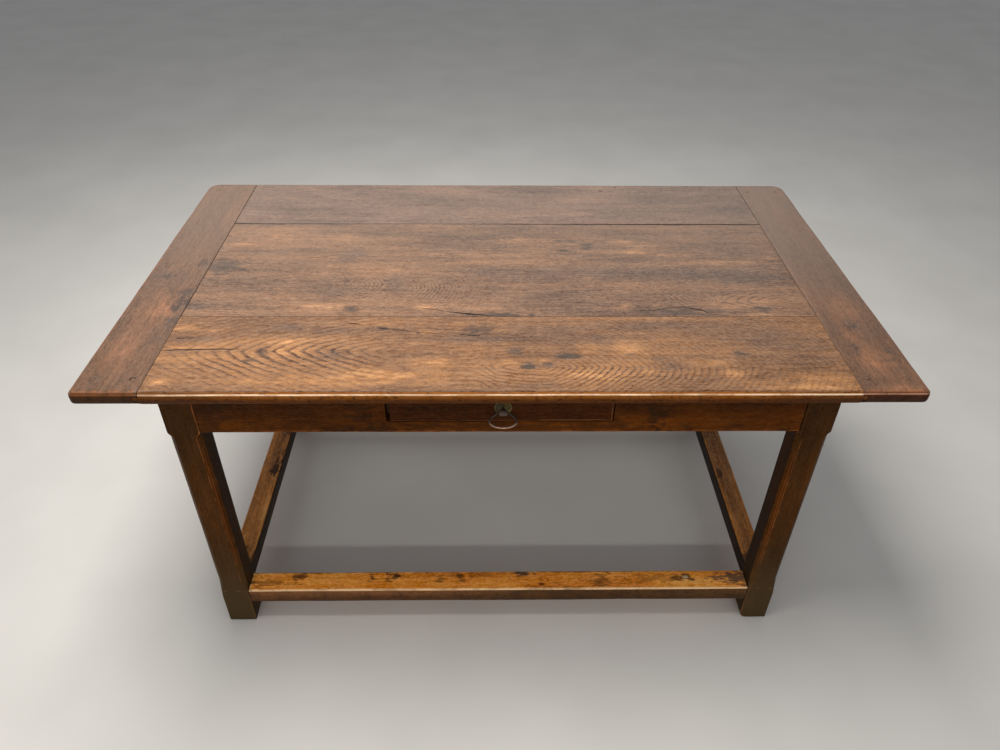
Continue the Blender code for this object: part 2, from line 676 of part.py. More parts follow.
def build_frame(stub_mortises, button_slots):
    """Legs, aprons and stretchers."""
    plates = []
    for side in (-1, 1):
        for along_x in (True, False):
            plates.append(apron_plate(side, along_x))
            plates.append(stretcher_plate(side, along_x))
    mortises = guide("frame_mortises", blocks(*[grown(plate, FIT) for plate in plates]))
    for end_word, end in ENDS:
        for side_word, side in SIDES:
            leg(f"leg_{end_word}_{side_word}", side, end, mortises, worn=(side, end) == (1, -1))
    opening = guide("drawer_opening", blocks((
        (OPENING_LEFT, -FRAME_Y - OVERRUN, OPENING_BOTTOM),
        (OPENING_RIGHT, -APRON_BACK_Y + OVERRUN, OPENING_TOP))))
    rounding = (STRETCHER_ROUND, STRETCHER_ROUND_STEPS)
    for word, side, along_x in (("front", -1, True), ("rear", 1, True),
                                ("left", -1, False), ("right", 1, False)):
        face = APRON_FACE_Y if along_x else APRON_FACE_X
        apron = bar("apron_" + word, side, along_x, face, APRON_THICKNESS, APRON_BOTTOM, FRAME_TOP,
                    apron_plate(side, along_x), "dark_oak_frame")
        if word == "front":
            cut(apron, opening)
        if along_x:
            cut(apron, stub_mortises)
        cut(apron, button_slots)
        bar("stretcher_" + word, side, along_x, FRAME_Y if along_x else FRAME_X, STRETCHER_WIDTH,
            STRETCHER_CLEARANCE, STRETCHER_TOP, stretcher_plate(side, along_x),
            "worn_oak_stretcher", rounding)


# Drawer

def tail_levels(low, high):
    """(low, high) of each dovetail's narrow end, spread between two heights."""
    width = (high - low - PIN_WIDTH * (TAIL_COUNT + 1)) / TAIL_COUNT
    return [(low + PIN_WIDTH * (index + 1) + width * index,
             low + (PIN_WIDTH + width) * (index + 1)) for index in range(TAIL_COUNT)]


def front_tails():
    """Each front dovetail as (narrow low, narrow high, wide low, wide high)."""
    flare = TAIL_LENGTH * TAIL_FLARE_SHARE
    return [(low, high, low - flare, high + flare)
            for low, high in tail_levels(DRAWER_FRONT_BOTTOM, SIDE_TOP)]


def back_tails():
    """The back dovetails. The lowest one takes in the side's lower edge."""
    flare = BACK_THICKNESS * TAIL_FLARE_SHARE
    tails = [(low, high, low - flare, high + flare)
             for low, high in tail_levels(PANEL_TOP, BACK_TOP)]
    _, narrow_high, _, wide_high = tails[0]
    tails[0] = (SIDE_BOTTOM, narrow_high, SIDE_BOTTOM, wide_high)
    return tails


def side_outline():
    """A drawer side in the YZ plane, with its dovetails at both ends."""
    shoulder, tip = DRAWER_FRONT_BACK_Y + FIT, DRAWER_FRONT_BACK_Y - TAIL_LENGTH
    outline = []
    for narrow_low, narrow_high, wide_low, wide_high in back_tails():
        outline += [(BACK_FACE_Y, narrow_low), (DRAWER_END_Y, wide_low),
                    (DRAWER_END_Y, wide_high), (BACK_FACE_Y, narrow_high)]
    outline = outline[1:] + [(BACK_FACE_Y, SIDE_TOP), (shoulder, SIDE_TOP)]
    for narrow_low, narrow_high, wide_low, wide_high in reversed(front_tails()):
        outline += [(shoulder, narrow_high), (tip, wide_high), (tip, wide_low),
                    (shoulder, narrow_low)]
    return outline + [(shoulder, SIDE_BOTTOM)]


def socket_cutter(name, tails, shoulder, tip, forward, tip_pass):
    """Sockets at both ends of the front or back. forward is -1 or +1, from shoulder to tip in Y."""
    bm = bmesh.new()
    for narrow_low, narrow_high, wide_low, wide_high in tails:
        outline = [(shoulder - forward * OVERRUN, narrow_low - FIT),
                   (shoulder, narrow_low - FIT),
                   (tip + forward * FIT, wide_low - FIT),
                   (tip + forward * (FIT + tip_pass), wide_low - FIT),
                   (tip + forward * (FIT + tip_pass), wide_high + FIT),
                   (tip + forward * FIT, wide_high + FIT),
                   (shoulder, narrow_high + FIT),
                   (shoulder - forward * OVERRUN, narrow_high + FIT)]
        if not tip_pass:
            del outline[3:5]
        for face, side in ((DRAWER_LEFT, -1), (DRAWER_RIGHT, 1)):
            start = face + side * OVERRUN
            sweep = -side * (OVERRUN + SIDE_THICKNESS + FIT)
            add_prism(bm, outline, lambda y, z: (start, y, z), (sweep, 0, 0))
    return guide(name, bm)


def build_drawer(slide):
    """The drawer box. Every piece hangs on the empty that slides."""
    home = parent_place(slide)
    inner_left = DRAWER_LEFT + SIDE_THICKNESS
    inner_right = DRAWER_RIGHT - SIDE_THICKNESS
    panel = ((inner_left - GROOVE_DEPTH + FIT, DRAWER_FRONT_BACK_Y - GROOVE_DEPTH + FIT,
              PANEL_BOTTOM),
             (inner_right + GROOVE_DEPTH - FIT, DRAWER_END_Y, PANEL_TOP))
    groove_low, groove_high = grown(panel, FIT)
    groove = guide("panel_groove", blocks(
        (groove_low, groove_high + Vector((0, OVERRUN, 0)))))

    bm = blocks(((DRAWER_LEFT, DRAWER_FACE_Y, DRAWER_FRONT_BOTTOM),
                 (DRAWER_RIGHT, DRAWER_FRONT_BACK_Y, DRAWER_FRONT_TOP)))
    round_edges(bm, lambda v: near(v.y, DRAWER_FACE_Y), DRAWER_FRONT_ROUND,
                DRAWER_FRONT_ROUND_STEPS)
    front = piece("drawer_front", bm, "dark_oak_frame", home, slide)
    cut(front, socket_cutter("front_sockets", front_tails(), DRAWER_FRONT_BACK_Y,
                             DRAWER_FRONT_BACK_Y - TAIL_LENGTH, -1, 0))
    cut(front, groove)

    for name, face, side in (("drawer_side_left", DRAWER_LEFT, -1),
                             ("drawer_side_right", DRAWER_RIGHT, 1)):
        bm = bmesh.new()
        add_prism(bm, side_outline(), lambda y, z: (face, y, z), (-side * SIDE_THICKNESS, 0, 0))
        cut(piece(name, bm, "drawer_oak", home, slide), groove)

    back = piece("drawer_back", blocks(((DRAWER_LEFT, BACK_FACE_Y + FIT, PANEL_TOP + FIT),
                                        (DRAWER_RIGHT, DRAWER_END_Y, BACK_TOP))),
                 "drawer_oak", home, slide)
    cut(back, socket_cutter("back_sockets", back_tails(), BACK_FACE_Y, DRAWER_END_Y, 1, OVERRUN))

    bottom = piece("drawer_bottom", blocks(panel), "drawer_oak", home, slide)
    nail_holes = bmesh.new()
    nail_y = (BACK_FACE_Y + DRAWER_END_Y) / 2
    head_top = PANEL_BOTTOM - FIT
    shank, head = NAIL_DIAMETER / 2, NAIL_HEAD_DIAMETER / 2
    for index in range(NAIL_COUNT):
        share = (index + 0.5) / NAIL_COUNT
        x = inner_left + (inner_right - inner_left) * share
        nail = bmesh.new()
        add_turned_copy(nail, [(0, 0), (head, 0), (head, NAIL_HEAD_THICKNESS),
                               (shank, NAIL_HEAD_THICKNESS), (shank, NAIL_LENGTH - head),
                               (0, NAIL_LENGTH)],
                        (x, nail_y, head_top - NAIL_HEAD_THICKNESS), NAIL_SIDES)
        piece(f"drawer_bottom_nail_{index + 1}", nail, "worn_iron", home, slide)
        add_rod(nail_holes, (x, nail_y, head_top - OVERRUN),
                (x, nail_y, head_top + NAIL_LENGTH), shank + FIT, sides=NAIL_SIDES)
    holes = guide("nail_holes", nail_holes)
    cut(bottom, holes)
    cut(back, holes)
    return front


def add_turned_copy(target, profile, place, segments):
    """A turned solid, added to a bmesh that may hold others."""
    turned = bmesh.new()
    add_turned(turned, profile, Matrix.Translation(place), segments)
    mesh = bpy.data.meshes.new("turned")
    turned.to_mesh(mesh)
    turned.free()
    target.from_mesh(mesh)
    bpy.data.meshes.remove(mesh)


# Ring pull

def out_from_face(distance):
    """A point on the pull's axis, that far in front of the drawer face."""
    return Vector((PULL_X, DRAWER_FACE_Y - distance, PULL_Z))


def build_pull(drawer_front, slide, swing):
    """Rose, knuckle on its shank, nut and ring."""
    home = parent_place(slide)
    outward = Matrix.Translation(out_from_face(FIT)) @ Matrix.Rotation(math.pi / 2, 4, "X")
    shank_radius = SHANK_DIAMETER / 2
    bore = shank_radius + FIT
    rose_radius = ROSE_DIAMETER / 2
    neck_radius = NECK_DIAMETER / 2
    rise = ROSE_HEIGHT - ROSE_EDGE
    bm = bmesh.new()
    dome_shares = ((1.0, 0.0), (0.94, 0.30), (0.80, 0.55), (0.60, 0.85), (0.45, 1.0))
    add_turned(bm, [(bore, 0), (rose_radius, 0)]
               + [(rose_radius * out, ROSE_EDGE + rise * up) for out, up in dome_shares]
               + [(bore, ROSE_HEIGHT)], outward, ROSE_SEGMENTS, closed=True)
    piece("pull_rose", bm, "aged_brass", home, slide, smooth=True)

    half = KNUCKLE_LENGTH / 2
    radius = KNUCKLE_DIAMETER / 2
    barrel_shares = ((-1.0, 0.0), (-1.0, 0.62), (-0.80, 0.86), (-0.40, 0.98), (0.0, 1.0),
                     (0.40, 0.98), (0.80, 0.86), (1.0, 0.62), (1.0, 0.0))
    bm = bmesh.new()
    add_turned(bm, [(radius * out, half * along) for along, out in barrel_shares],
               Matrix.Translation(PIVOT) @ Matrix.Rotation(math.pi / 2, 4, "Y"), KNUCKLE_SEGMENTS)
    knuckle = piece("pull_knuckle", bm, "worn_iron", home, slide, smooth=True)
    neck = bmesh.new()
    add_rod(neck, out_from_face(ROSE_HEIGHT + FIT + FIT), out_from_face(PIVOT_OUT), neck_radius)
    shank = bmesh.new()
    shank_end = -(DRAWER_FRONT_THICKNESS + FIT + NUT_THICKNESS + SHANK_SPARE)
    add_rod(shank, out_from_face(shank_end), out_from_face(PIVOT_OUT - radius / 2), shank_radius)
    join(knuckle, guide("knuckle_neck", neck), guide("knuckle_shank", shank))
    eye = bmesh.new()
    reach = Vector((half + OVERRUN, 0, 0))
    add_rod(eye, PIVOT - reach, PIVOT + reach, RING_WIRE / 2 + RING_RUNNING_GAP,
            sides=KNUCKLE_SEGMENTS)
    cut(knuckle, guide("knuckle_eye", eye))

    hole = bmesh.new()
    add_rod(hole, out_from_face(shank_end - OVERRUN), out_from_face(OVERRUN), bore)
    shank_hole = guide("shank_hole", hole)
    cut(drawer_front, shank_hole)
    nut_half = NUT_WIDTH / 2
    nut_near = DRAWER_FRONT_BACK_Y + FIT
    nut = piece("pull_nut", blocks((
        (PULL_X - nut_half, nut_near, PULL_Z - nut_half),
        (PULL_X + nut_half, nut_near + NUT_THICKNESS, PULL_Z + nut_half))), "worn_iron", home, slide)
    cut(nut, shank_hole)
    build_ring(swing)


def build_ring(swing):
    """A closed wire ring, straight where it passes the knuckle, hanging from the swing's empty."""
    straight = KNUCKLE_LENGTH / 2 + RING_STRAIGHT_PAST_KNUCKLE
    shoulder = RING_HALF_WIDTH - straight
    lower = RING_DROP - RING_WIDEST_DROP
    curve = bpy.data.curves.new("pull_ring", "CURVE")
    curve.dimensions = "3D"
    curve.resolution_u = 5
    curve.bevel_depth = RING_WIRE / 2
    curve.bevel_resolution = 2
    # Shares that shape the handles: how far each arm runs before it bends
    arm_out_share, arm_down_share = 0.20, 0.10
    widest_up_share, widest_down_share, bottom_share = 0.36, 0.56, 0.56
    knots = []
    for side in (1, -1):
        top = ((side * straight, 0), (side * straight / 3, 0),
               (side * (straight + shoulder * arm_out_share), -RING_WIDEST_DROP * arm_down_share))
        widest = ((side * RING_HALF_WIDTH, -RING_WIDEST_DROP),
                  (side * RING_HALF_WIDTH, -RING_WIDEST_DROP * (1 - widest_up_share)),
                  (side * RING_HALF_WIDTH, -RING_WIDEST_DROP - lower * widest_down_share))
        knots.append([top, widest])
    bottom_reach = RING_HALF_WIDTH * bottom_share
    bottom = ((0, -RING_DROP), (bottom_reach, -RING_DROP), (-bottom_reach, -RING_DROP))
    right, left = knots
    turned_back = [(place, after, before) for place, before, after in reversed(left)]
    path = right + [bottom] + turned_back
    spline = curve.splines.new("BEZIER")
    spline.bezier_points.add(len(path) - 1)
    spline.use_cyclic_u = True
    for knot, (place, before, after) in zip(spline.bezier_points, path):
        knot.handle_left_type = knot.handle_right_type = "FREE"
        knot.co = (place[0], 0, place[1])
        knot.handle_left = (before[0], 0, before[1])
        knot.handle_right = (after[0], 0, after[1])
    curve.materials.append(finish_material("pull_ring", "worn_iron"))
    link_object("pull_ring", curve, PIVOT, swing)


def build_table():
    clear_scene()
    stub_mortises = build_drawer_supports(runner_boxes())
    button_slots, screw_holes = build_buttons()
    build_frame(stub_mortises, button_slots)
    build_top(screw_holes)
    middle_x = (DRAWER_LEFT + DRAWER_RIGHT) / 2
    slide = joint_empty("drawer_slide", (middle_x, DRAWER_FACE_Y, SIDE_BOTTOM))
    swing = joint_empty("ring_swing", PIVOT, slide)
    front = build_drawer(slide)
    build_pull(front, slide, swing)


build_table()
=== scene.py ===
"""The farmhouse table, dressed: old waxed oak with its splits and wear, a turned brass rose and a
forged ring pull."""
import json
from math import copysign, cos, exp, pi, radians, sin

import bmesh
import bpy
from mathutils import Matrix, Vector, noise

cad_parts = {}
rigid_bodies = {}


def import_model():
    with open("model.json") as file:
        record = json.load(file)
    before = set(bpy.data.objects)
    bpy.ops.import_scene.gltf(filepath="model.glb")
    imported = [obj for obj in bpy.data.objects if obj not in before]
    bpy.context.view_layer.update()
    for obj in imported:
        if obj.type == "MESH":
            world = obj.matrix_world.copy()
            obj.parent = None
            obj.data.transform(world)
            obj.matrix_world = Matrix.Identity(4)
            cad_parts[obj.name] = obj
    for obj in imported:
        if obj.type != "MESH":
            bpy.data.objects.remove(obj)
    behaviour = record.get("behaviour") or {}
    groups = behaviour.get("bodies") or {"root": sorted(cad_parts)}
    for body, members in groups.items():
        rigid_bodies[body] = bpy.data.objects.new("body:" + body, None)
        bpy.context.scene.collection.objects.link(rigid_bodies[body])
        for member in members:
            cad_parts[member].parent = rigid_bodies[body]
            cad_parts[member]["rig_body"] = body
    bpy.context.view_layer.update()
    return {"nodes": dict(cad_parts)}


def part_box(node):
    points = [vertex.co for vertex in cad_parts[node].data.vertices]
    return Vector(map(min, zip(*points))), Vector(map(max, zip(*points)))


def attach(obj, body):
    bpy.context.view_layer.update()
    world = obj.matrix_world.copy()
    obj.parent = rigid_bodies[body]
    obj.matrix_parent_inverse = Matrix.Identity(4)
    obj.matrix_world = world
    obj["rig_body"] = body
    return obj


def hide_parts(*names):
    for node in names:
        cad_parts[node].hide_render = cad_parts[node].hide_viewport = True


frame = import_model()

# Where the camera stood, found from the table's own corners in the photograph
PHOTO_WIDTH, PHOTO_HEIGHT = 1000, 750
FOCAL_PIXELS = 767.6
SENSOR_WIDTH = 36.0
CAMERA_PLACE = Vector((-0.0264, -1.4883, 1.5883))
CAMERA_PITCH_DOWN = radians(37.3945)
CAMERA_YAW = radians(1.1463)
CAMERA_ROLL = radians(0.6231)

# Places on the table, in metres
TOP_HEIGHT = 0.75
HALF_LENGTH, HALF_DEPTH = 0.76, 0.445
SEAM_X = 0.636  # the joints between the boards and the cleats
FRONT_SEAM_Y, BACK_SEAM_Y = -0.2, 0.21
# The top's front edge: where its colour begins and is full, and where the wax behind it is full
EDGE_BEGINS, EDGE_FULL, WAX_FULL = -0.4385, -0.4425, -0.4355
APRON_FACE_Y, DRAWER_FACE_Y = -0.375, -0.3782
RAIL_TOP = 0.113  # the stretchers' upper faces
PULL_X, PULL_Z = 0.0024, 0.6628
# Heights between which the ring turns bright, rubbed and with a painted highlight, and the knuckle
# sooty
RING_BRIGHT, KNUCKLE_SOOTY = (0.646, 0.624), (0.648, 0.654)


def camera_axes():
    """Right, up and forward of the camera."""
    level_right = Vector((cos(CAMERA_YAW), -sin(CAMERA_YAW), 0))
    forward = Vector((sin(CAMERA_YAW) * cos(CAMERA_PITCH_DOWN),
                      cos(CAMERA_YAW) * cos(CAMERA_PITCH_DOWN),
                      -sin(CAMERA_PITCH_DOWN)))
    level_up = level_right.cross(forward)
    right = cos(CAMERA_ROLL) * level_right + sin(CAMERA_ROLL) * level_up
    up = cos(CAMERA_ROLL) * level_up - sin(CAMERA_ROLL) * level_right
    return right, up, forward


def on_top(pixel_x, pixel_y, height=TOP_HEIGHT):
    """The point of the table top, or of another level, that a pixel of the photograph shows."""
    right, up, forward = camera_axes()
    ray = (forward + right * (pixel_x - PHOTO_WIDTH / 2) / FOCAL_PIXELS
           - up * (pixel_y - PHOTO_HEIGHT / 2) / FOCAL_PIXELS)
    return CAMERA_PLACE + ray * ((height - CAMERA_PLACE.z) / ray.z)


# Materials

def shade(red, green, blue):
    """A colour given as it looks on a screen, 0 to 255, as the shader wants it."""
    parts = []
    for part in (red, green, blue):
        share = part / 255
        parts.append(share / 12.92 if share <= 0.04045 else ((share + 0.055) / 1.055) ** 2.4)
    return (*parts, 1.0)


def joined(operation, swapped=False):
    """An operator for amounts: a maths node that takes in both sides."""
    def operator(self, other):
        return self.finish.maths(operation, *((other, self) if swapped else (self, other)))
    return operator


class Amount:
    """A socket's output that can be written into sums."""

    def __init__(self, finish, socket):
        self.finish, self.socket = finish, socket

    __add__ = __radd__ = joined("ADD")
    __mul__ = __rmul__ = joined("MULTIPLY")
    __sub__, __rsub__ = joined("SUBTRACT"), joined("SUBTRACT", swapped=True)
    __truediv__, __pow__ = joined("DIVIDE"), joined("POWER")

    def __abs__(self):
        return self.finish.maths("ABSOLUTE", self)


class Finish:
    """A material under construction."""

    def __init__(self, name):
        self.material = bpy.data.materials.new(name)
        self.material.use_nodes = True
        self.nodes = self.material.node_tree.nodes
        self.links = self.material.node_tree.links
        self.nodes.clear()

    def node(self, kind, settings=None, sockets=None, output=0):
        made = self.nodes.new("ShaderNode" + kind)
        for setting, value in (settings or {}).items():
            if setting == "stops":
                ramp = made.color_ramp.elements
                while len(ramp) < len(value):
                    ramp.new(0.5)
                for stop, (place, colour) in zip(ramp, value):
                    stop.position, stop.color = place, colour
            else:
                setattr(made, setting, value)
        for name, value in (sockets or {}).items():
            if isinstance(value, Amount):
                self.links.new(value.socket, made.inputs[name])
            else:
                made.inputs[name].default_value = value
        return Amount(self, made.outputs[output])

    def maths(self, operation, first, second=0.0):
        return self.node("Math", {"operation": operation}, {0: first, 1: second})

    def vector(self, operation, first, second=(0, 0, 0), third=(0, 0, 0), output=0):
        sockets = {0: first, 1: second, 2: third}
        return self.node("VectorMath", {"operation": operation}, sockets, output)

    def places(self):
        """X, Y and Z of the spot on the table, in metres."""
        spot = self.node("TexCoord", output="Object")
        return [self.node("SeparateXYZ", None, {0: spot}, output=axis)
                for axis in range(3)]

    def point(self, x, y, z):
        return self.node("CombineXYZ", None, {0: x, 1: y, 2: z})

    def clouds(self, spot, scales, detail=2.0, roughness=0.5, starts=(0, 0, 0), warp=0.0):
        """Soft noise between 0 and 1, at a spot that is scaled and moved first."""
        parts = [part * scale + start if start else part * scale
                 for part, scale, start in zip(spot, scales, starts)]
        return self.node("TexNoise", None, {
            "Vector": self.point(*parts), "Scale": 1.0, "Detail": detail,
            "Roughness": roughness, "Distortion": warp})

    def step(self, value, start, end, low=0.0, high=1.0):
        """Turns smoothly from low to high as the value goes from start to end."""
        return self.node("MapRange", {"interpolation_type": "SMOOTHSTEP"}, {
            "Value": value, "From Min": start, "From Max": end, "To Min": low, "To Max": high})

    def wear(self, name):
        """A number that the mesh carries at its vertices."""
        return self.node("Attribute", {"attribute_name": name}, output="Fac")

    def ramp(self, value, tones):
        """Colours by value, from tones that are (place, red, green, blue)."""
        stops = [(place, shade(*tint)) for place, *tint in tones]
        return self.node("ValToRGB", {"stops": stops}, {0: value})

    def blend(self, share, first, second):
        """Goes from one colour to another, each a socket or (red, green, blue)."""
        first, second = [shade(*colour) if isinstance(colour, tuple) else colour
                         for colour in (first, second)]
        return self.node("Mix", {"data_type": "RGBA"}, {0: share, 6: first, 7: second}, 2)

    def bump(self, height, distance, strength=1.0, under=None):
        sockets = {"Height": height, "Distance": distance, "Strength": strength}
        if under is not None:
            sockets["Normal"] = under
        return self.node("Bump", None, sockets)

    def close(self, **sockets):
        """The surface itself, wired to the output."""
        names = {key.replace("_", " "): value for key, value in sockets.items()}
        surface = self.node("BsdfPrincipled", None, names)
        output = self.nodes.new("ShaderNodeOutputMaterial")
        self.links.new(surface.socket, output.inputs["Surface"])
        return self.material


GRAIN_ORDER = {"X": (0, 1, 2), "Y": (1, 0, 2), "Z": (2, 0, 1)}
GRAIN_TINT = (1.0, 0.77, 0.56)
GREYED = (94, 79, 70)
# The painted shade of faces that look into the table
NEARLY_BLACK = (18, 12, 8)
FIGURE_EVERYWHERE = 0.25  # how much of the growth rings shows outside the figured patches
SWIRL_OVERLAP = 0.03  # half the length over which one swirl takes over from another
# The rubbed line of a front edge carries a painted highlight
LINE_SOFT = 0.0006  # how softly the rubbed line of a front edge ends, up and down
JOINT_DIRT = (22, 14, 10)  # the dirt in the joints


def ring_count(f, along, across, depth, swirls):
    """Which growth ring a spot lies in. The swirls take over from each other along the board, and
    each is (where it starts, centre as pixel x and y, reach to its low side, reach to its high
    side, how round its tips are, ring width, first ring)."""
    count = None
    under = abs(depth - TOP_HEIGHT) * 0.7
    for starts, pixel_x, pixel_y, low_reach, high_reach, bow, ring, first in swirls:
        centre = on_top(pixel_x, pixel_y)
        run = along - centre.x
        run = f.maths("MAXIMUM", run / high_reach, run * (-1 / low_reach))
        side = abs(across - centre.y) + under
        own = (run ** bow + side ** bow) ** (1 / bow) / ring + first
        if count is None:
            count = own
        else:
            taken = f.step(along, starts - SWIRL_OVERLAP, starts + SWIRL_OVERLAP)
            count = count + (own - count) * taken
    return count


def seam_lines(f, spot, seams, uneven):
    """Dirt in the joints: seams are (axis, place, half width, strength, how patchy)."""
    total = None
    for axis, place, half, strength, patchy in seams:
        line = f.step(abs(spot[axis] - place), half, half * 0.35) * strength
        line = line * f.step(uneven, 0.62 - 0.3 * patchy, 0.4, 1 - patchy, 1)
        total = line if total is None else f.maths("MAXIMUM", total, line)
    return total


def front_edge(f, spot, colour, front, waxed, mottle, broad, specks):
    """The colour and the wax coat with a front edge, whose settings are
    reach: the Y where its own colour begins and where it is full
    wood, under, turn: its colours above and below, and the heights and raggedness of the change
    ends: (start, end, colour, share, whether at both ends alike) along X
    cover, thin, speck: its share, what is left of it in thin spots, and its specks' colour
    line, gleam, rubbed, polish: the heights, colour, share and coat of its rubbed upper line and
    its painted highlight"""
    reach = f.step(spot[1], *front["reach"])
    low, high = front["line"]
    lit = reach * f.step(spot[2], low - LINE_SOFT, low + LINE_SOFT) \
        * f.step(spot[2], high + LINE_SOFT, high - LINE_SOFT)
    cover = reach * f.step(mottle, 0.25, 0.6, 1, front["thin"]) * front["cover"]
    wood = f.blend(f.step(spot[2] + (mottle - 0.5) * front["turn"][2], *front["turn"][:2]),
                   front["under"], front["wood"])
    start, end, tint, share, both = front["ends"]
    place = abs(spot[0]) if both else spot[0]
    wood = f.blend(f.step(place, start, end) * share, wood, tint)
    colour = f.blend(cover, colour, wood)
    colour = f.blend(reach * f.step(specks, 0.56, 0.64) * 0.6, colour, front["speck"])
    # The upper line: lighter rubbed wood with a painted highlight on it
    gleam = lit * f.step(broad * 0.5 + mottle * 0.5, 0.4, 0.56, 0.4, 1)
    colour = f.blend(gleam * front["rubbed"], colour, front["gleam"])
    return colour, f.step(spot[1], EDGE_BEGINS, WAX_FULL) * waxed + gleam * front["polish"]


def oak(name, grain, tones, swirls=(), ring=0.01, figure=0.4, fibre=1.0, cloudiness=0.5,
        shift=0.0, level=0.5, waxed=0.0, shine=0.04, dull=0.42, seams=(), rim=None, foot=None,
        front=None, painted_shade=None, painted_sheen=None, painted_inner_shade=None, marks=(), stains=(),
        stray=(1.0, 1.0), peppered=0.0, keen=1.0, choppy=1.0):
    """Old oak. A colour is (red, green, blue), and a share is how much of it covers the wood.
    grain, tones: the axis it runs along, and its colours as (place, red, green, blue)
    swirls, ring: growth rings as ring_count takes them, or the width of plain ones
    figure, choppy, stray: how clearly the rings show, how broken they are, and how far they
        wander at the left and at the right
    fibre, cloudiness, peppered: strength of the fine grain and of the clouds, and extra specks
    shift: moves the pattern sideways, so that no two pieces are alike
    level, fade: the middle tone, and a painted shade that changes it as (axis, start, end, amount)
    waxed, shine, dull: the wax coat, the gloss below it and the roughness
    rim, keen: (colour, share) of rubbed arrises, and how narrow they are
    foot, bleach: (colour, height, share) at the floor, and (start, end, colour, share) along Y of a
    painted sheen
    sheltered: (distance from the middle along X, share) of inner faces painted nearly black as
    shade
    marks, stains: boxes as (low corner, high corner, colour, share), and ragged ovals as
        (centre, radii, colour, share)"""
    f = Finish(name)
    spot = f.places()
    along, across, depth = [spot[i] for i in GRAIN_ORDER[grain]]
    wood = along, across + shift, depth

    def uneven(long, wide, detail, roughness=0.5, starts=(0, 0, 0), warp=0):
        """Noise that is drawn out along the grain."""
        return f.clouds(wood, (long, wide, wide), detail, roughness, starts, warp)

    drift = uneven(3, 8, 2, starts=(shift * 7, 0, 0)) - 0.5
    quiver = (uneven(24, 52, 3, 0.6) - 0.5) * (0.4 + 0.6 * choppy)
    bent = across + drift * 0.035 + quiver * 0.011
    if swirls:
        rings = ring_count(f, along + quiver * 0.014, bent, depth, swirls)
    else:
        rings = (bent + depth * 0.6) / ring
    wander = uneven(10, 24, 3, 0.6, (shift * 5, 0, 0)) - 0.5
    rings = rings + wander * f.step(along, -0.1, 0.2, *stray)
    turn = f.maths("FRACT", rings)
    line = f.maths("MAXIMUM", f.step(turn, 0, 0.5, 1, 0), f.step(turn, 0.82, 1))
    between = f.step(f.maths("FRACT", rings * 3 + 0.4), 0, 0.6, 0.45 * choppy, 0)
    line = f.maths("MAXIMUM", line, between)
    dashes = uneven(125, 330, 3, 0.68)
    threads = uneven(15, 165, 3, 0.65)
    pore = f.step(uneven(150, 1300, 1, 0.6), 0.6, 0.7)
    streaks = uneven(2.6, 38, 4, 0.62, (0, 0, 5))
    broad = uneven(3.2, 9, 3, 0.55, (11 + shift * 3, 0, 0), 0.4)
    mottle = uneven(30, 60, 4, 0.65)
    flecks = uneven(55, 135, 3, 0.62, (2, 0, 0))
    broken = line * f.step(dashes * 0.5 + threads * 0.5, 0.62, 0.4, 1 - 0.75 * choppy, 1) \
        * f.step(broad * 0.5 + flecks * 0.5, 0.38, 0.58, 0.45, 1)
    glow, patina, rub, dirt = [f.wear(kind) for kind in ("glow", "patina", "rub", "dirt")]
    drawn = figure * (f.wear("figured") + FIGURE_EVERYWHERE)
    rubbed = f.step(rub ** keen + (mottle - 0.5) * 1.3 + (flecks - 0.5) * 0.9, 0.58, 0.95)

    # Large changes run through the tones, so that light wood is also more orange
    tone = (level + (broad - 0.5) * (1.1 * cloudiness) + (streaks - 0.5) * (0.8 * cloudiness)
            + (mottle - 0.5) * 0.24 + (flecks - 0.5) * (0.55 * cloudiness)
            - (broken - 0.25) * drawn * 0.5
            + glow * 0.32 * f.step(mottle, 0.32, 0.62, 0.5, 1.2) - patina * 0.1
            + rubbed * 0.12 - dirt * 0.3)
    # Painted shade: the tone lowers along one axis, towards where less light reaches
    if painted_shade:
        axis, start, end, amount = painted_shade
        tone = tone + f.step(spot[axis], start, end) * amount
    colour = f.ramp(tone, tones)
    greyed = f.maths("MINIMUM", patina * f.step(mottle, 0.3, 0.66, 0.75, 0.4), 0.85)
    colour = f.blend(greyed, colour, GREYED)

    # Fine grain changes lightness and leaves the hue alone
    grain_light = ((dashes - 0.5) * 0.2 + (threads - 0.5) * 0.09
                   - pore * (line * 0.05 + 0.03)) * fibre
    colour = f.vector("MULTIPLY_ADD", f.point(grain_light, grain_light, grain_light),
                      GRAIN_TINT, colour)
    colour = f.vector("MAXIMUM", colour, (0.002, 0.0012, 0.0007))
    specks = uneven(110, 240, 2, 0.6, (0, 0, 3))
    speck_field = uneven(6, 9, 1, starts=(4, 0, 0))
    speck = f.step(specks, 0.67 - peppered, 0.73 - peppered) \
        * f.step(speck_field, 0.4 - peppered * 2, 0.6 - peppered)
    colour = f.blend(speck * 0.7, colour, (30, 20, 14))
    # Painted sheen: the wood pales towards the back, where the reflection lies
    if painted_sheen:
        start, end, tint, share = painted_sheen
        colour = f.blend(f.step(spot[1], start, end) * share, colour, tint)
    if rim:
        colour = f.blend(rubbed * rim[1], colour, rim[0])
    coat = waxed
    if front:
        colour, coat = front_edge(f, spot, colour, front, waxed, mottle, broad, specks)
    if foot:
        colour = f.blend(f.step(spot[2], foot[1], 0.03, 0, foot[2]), colour, foot[0])
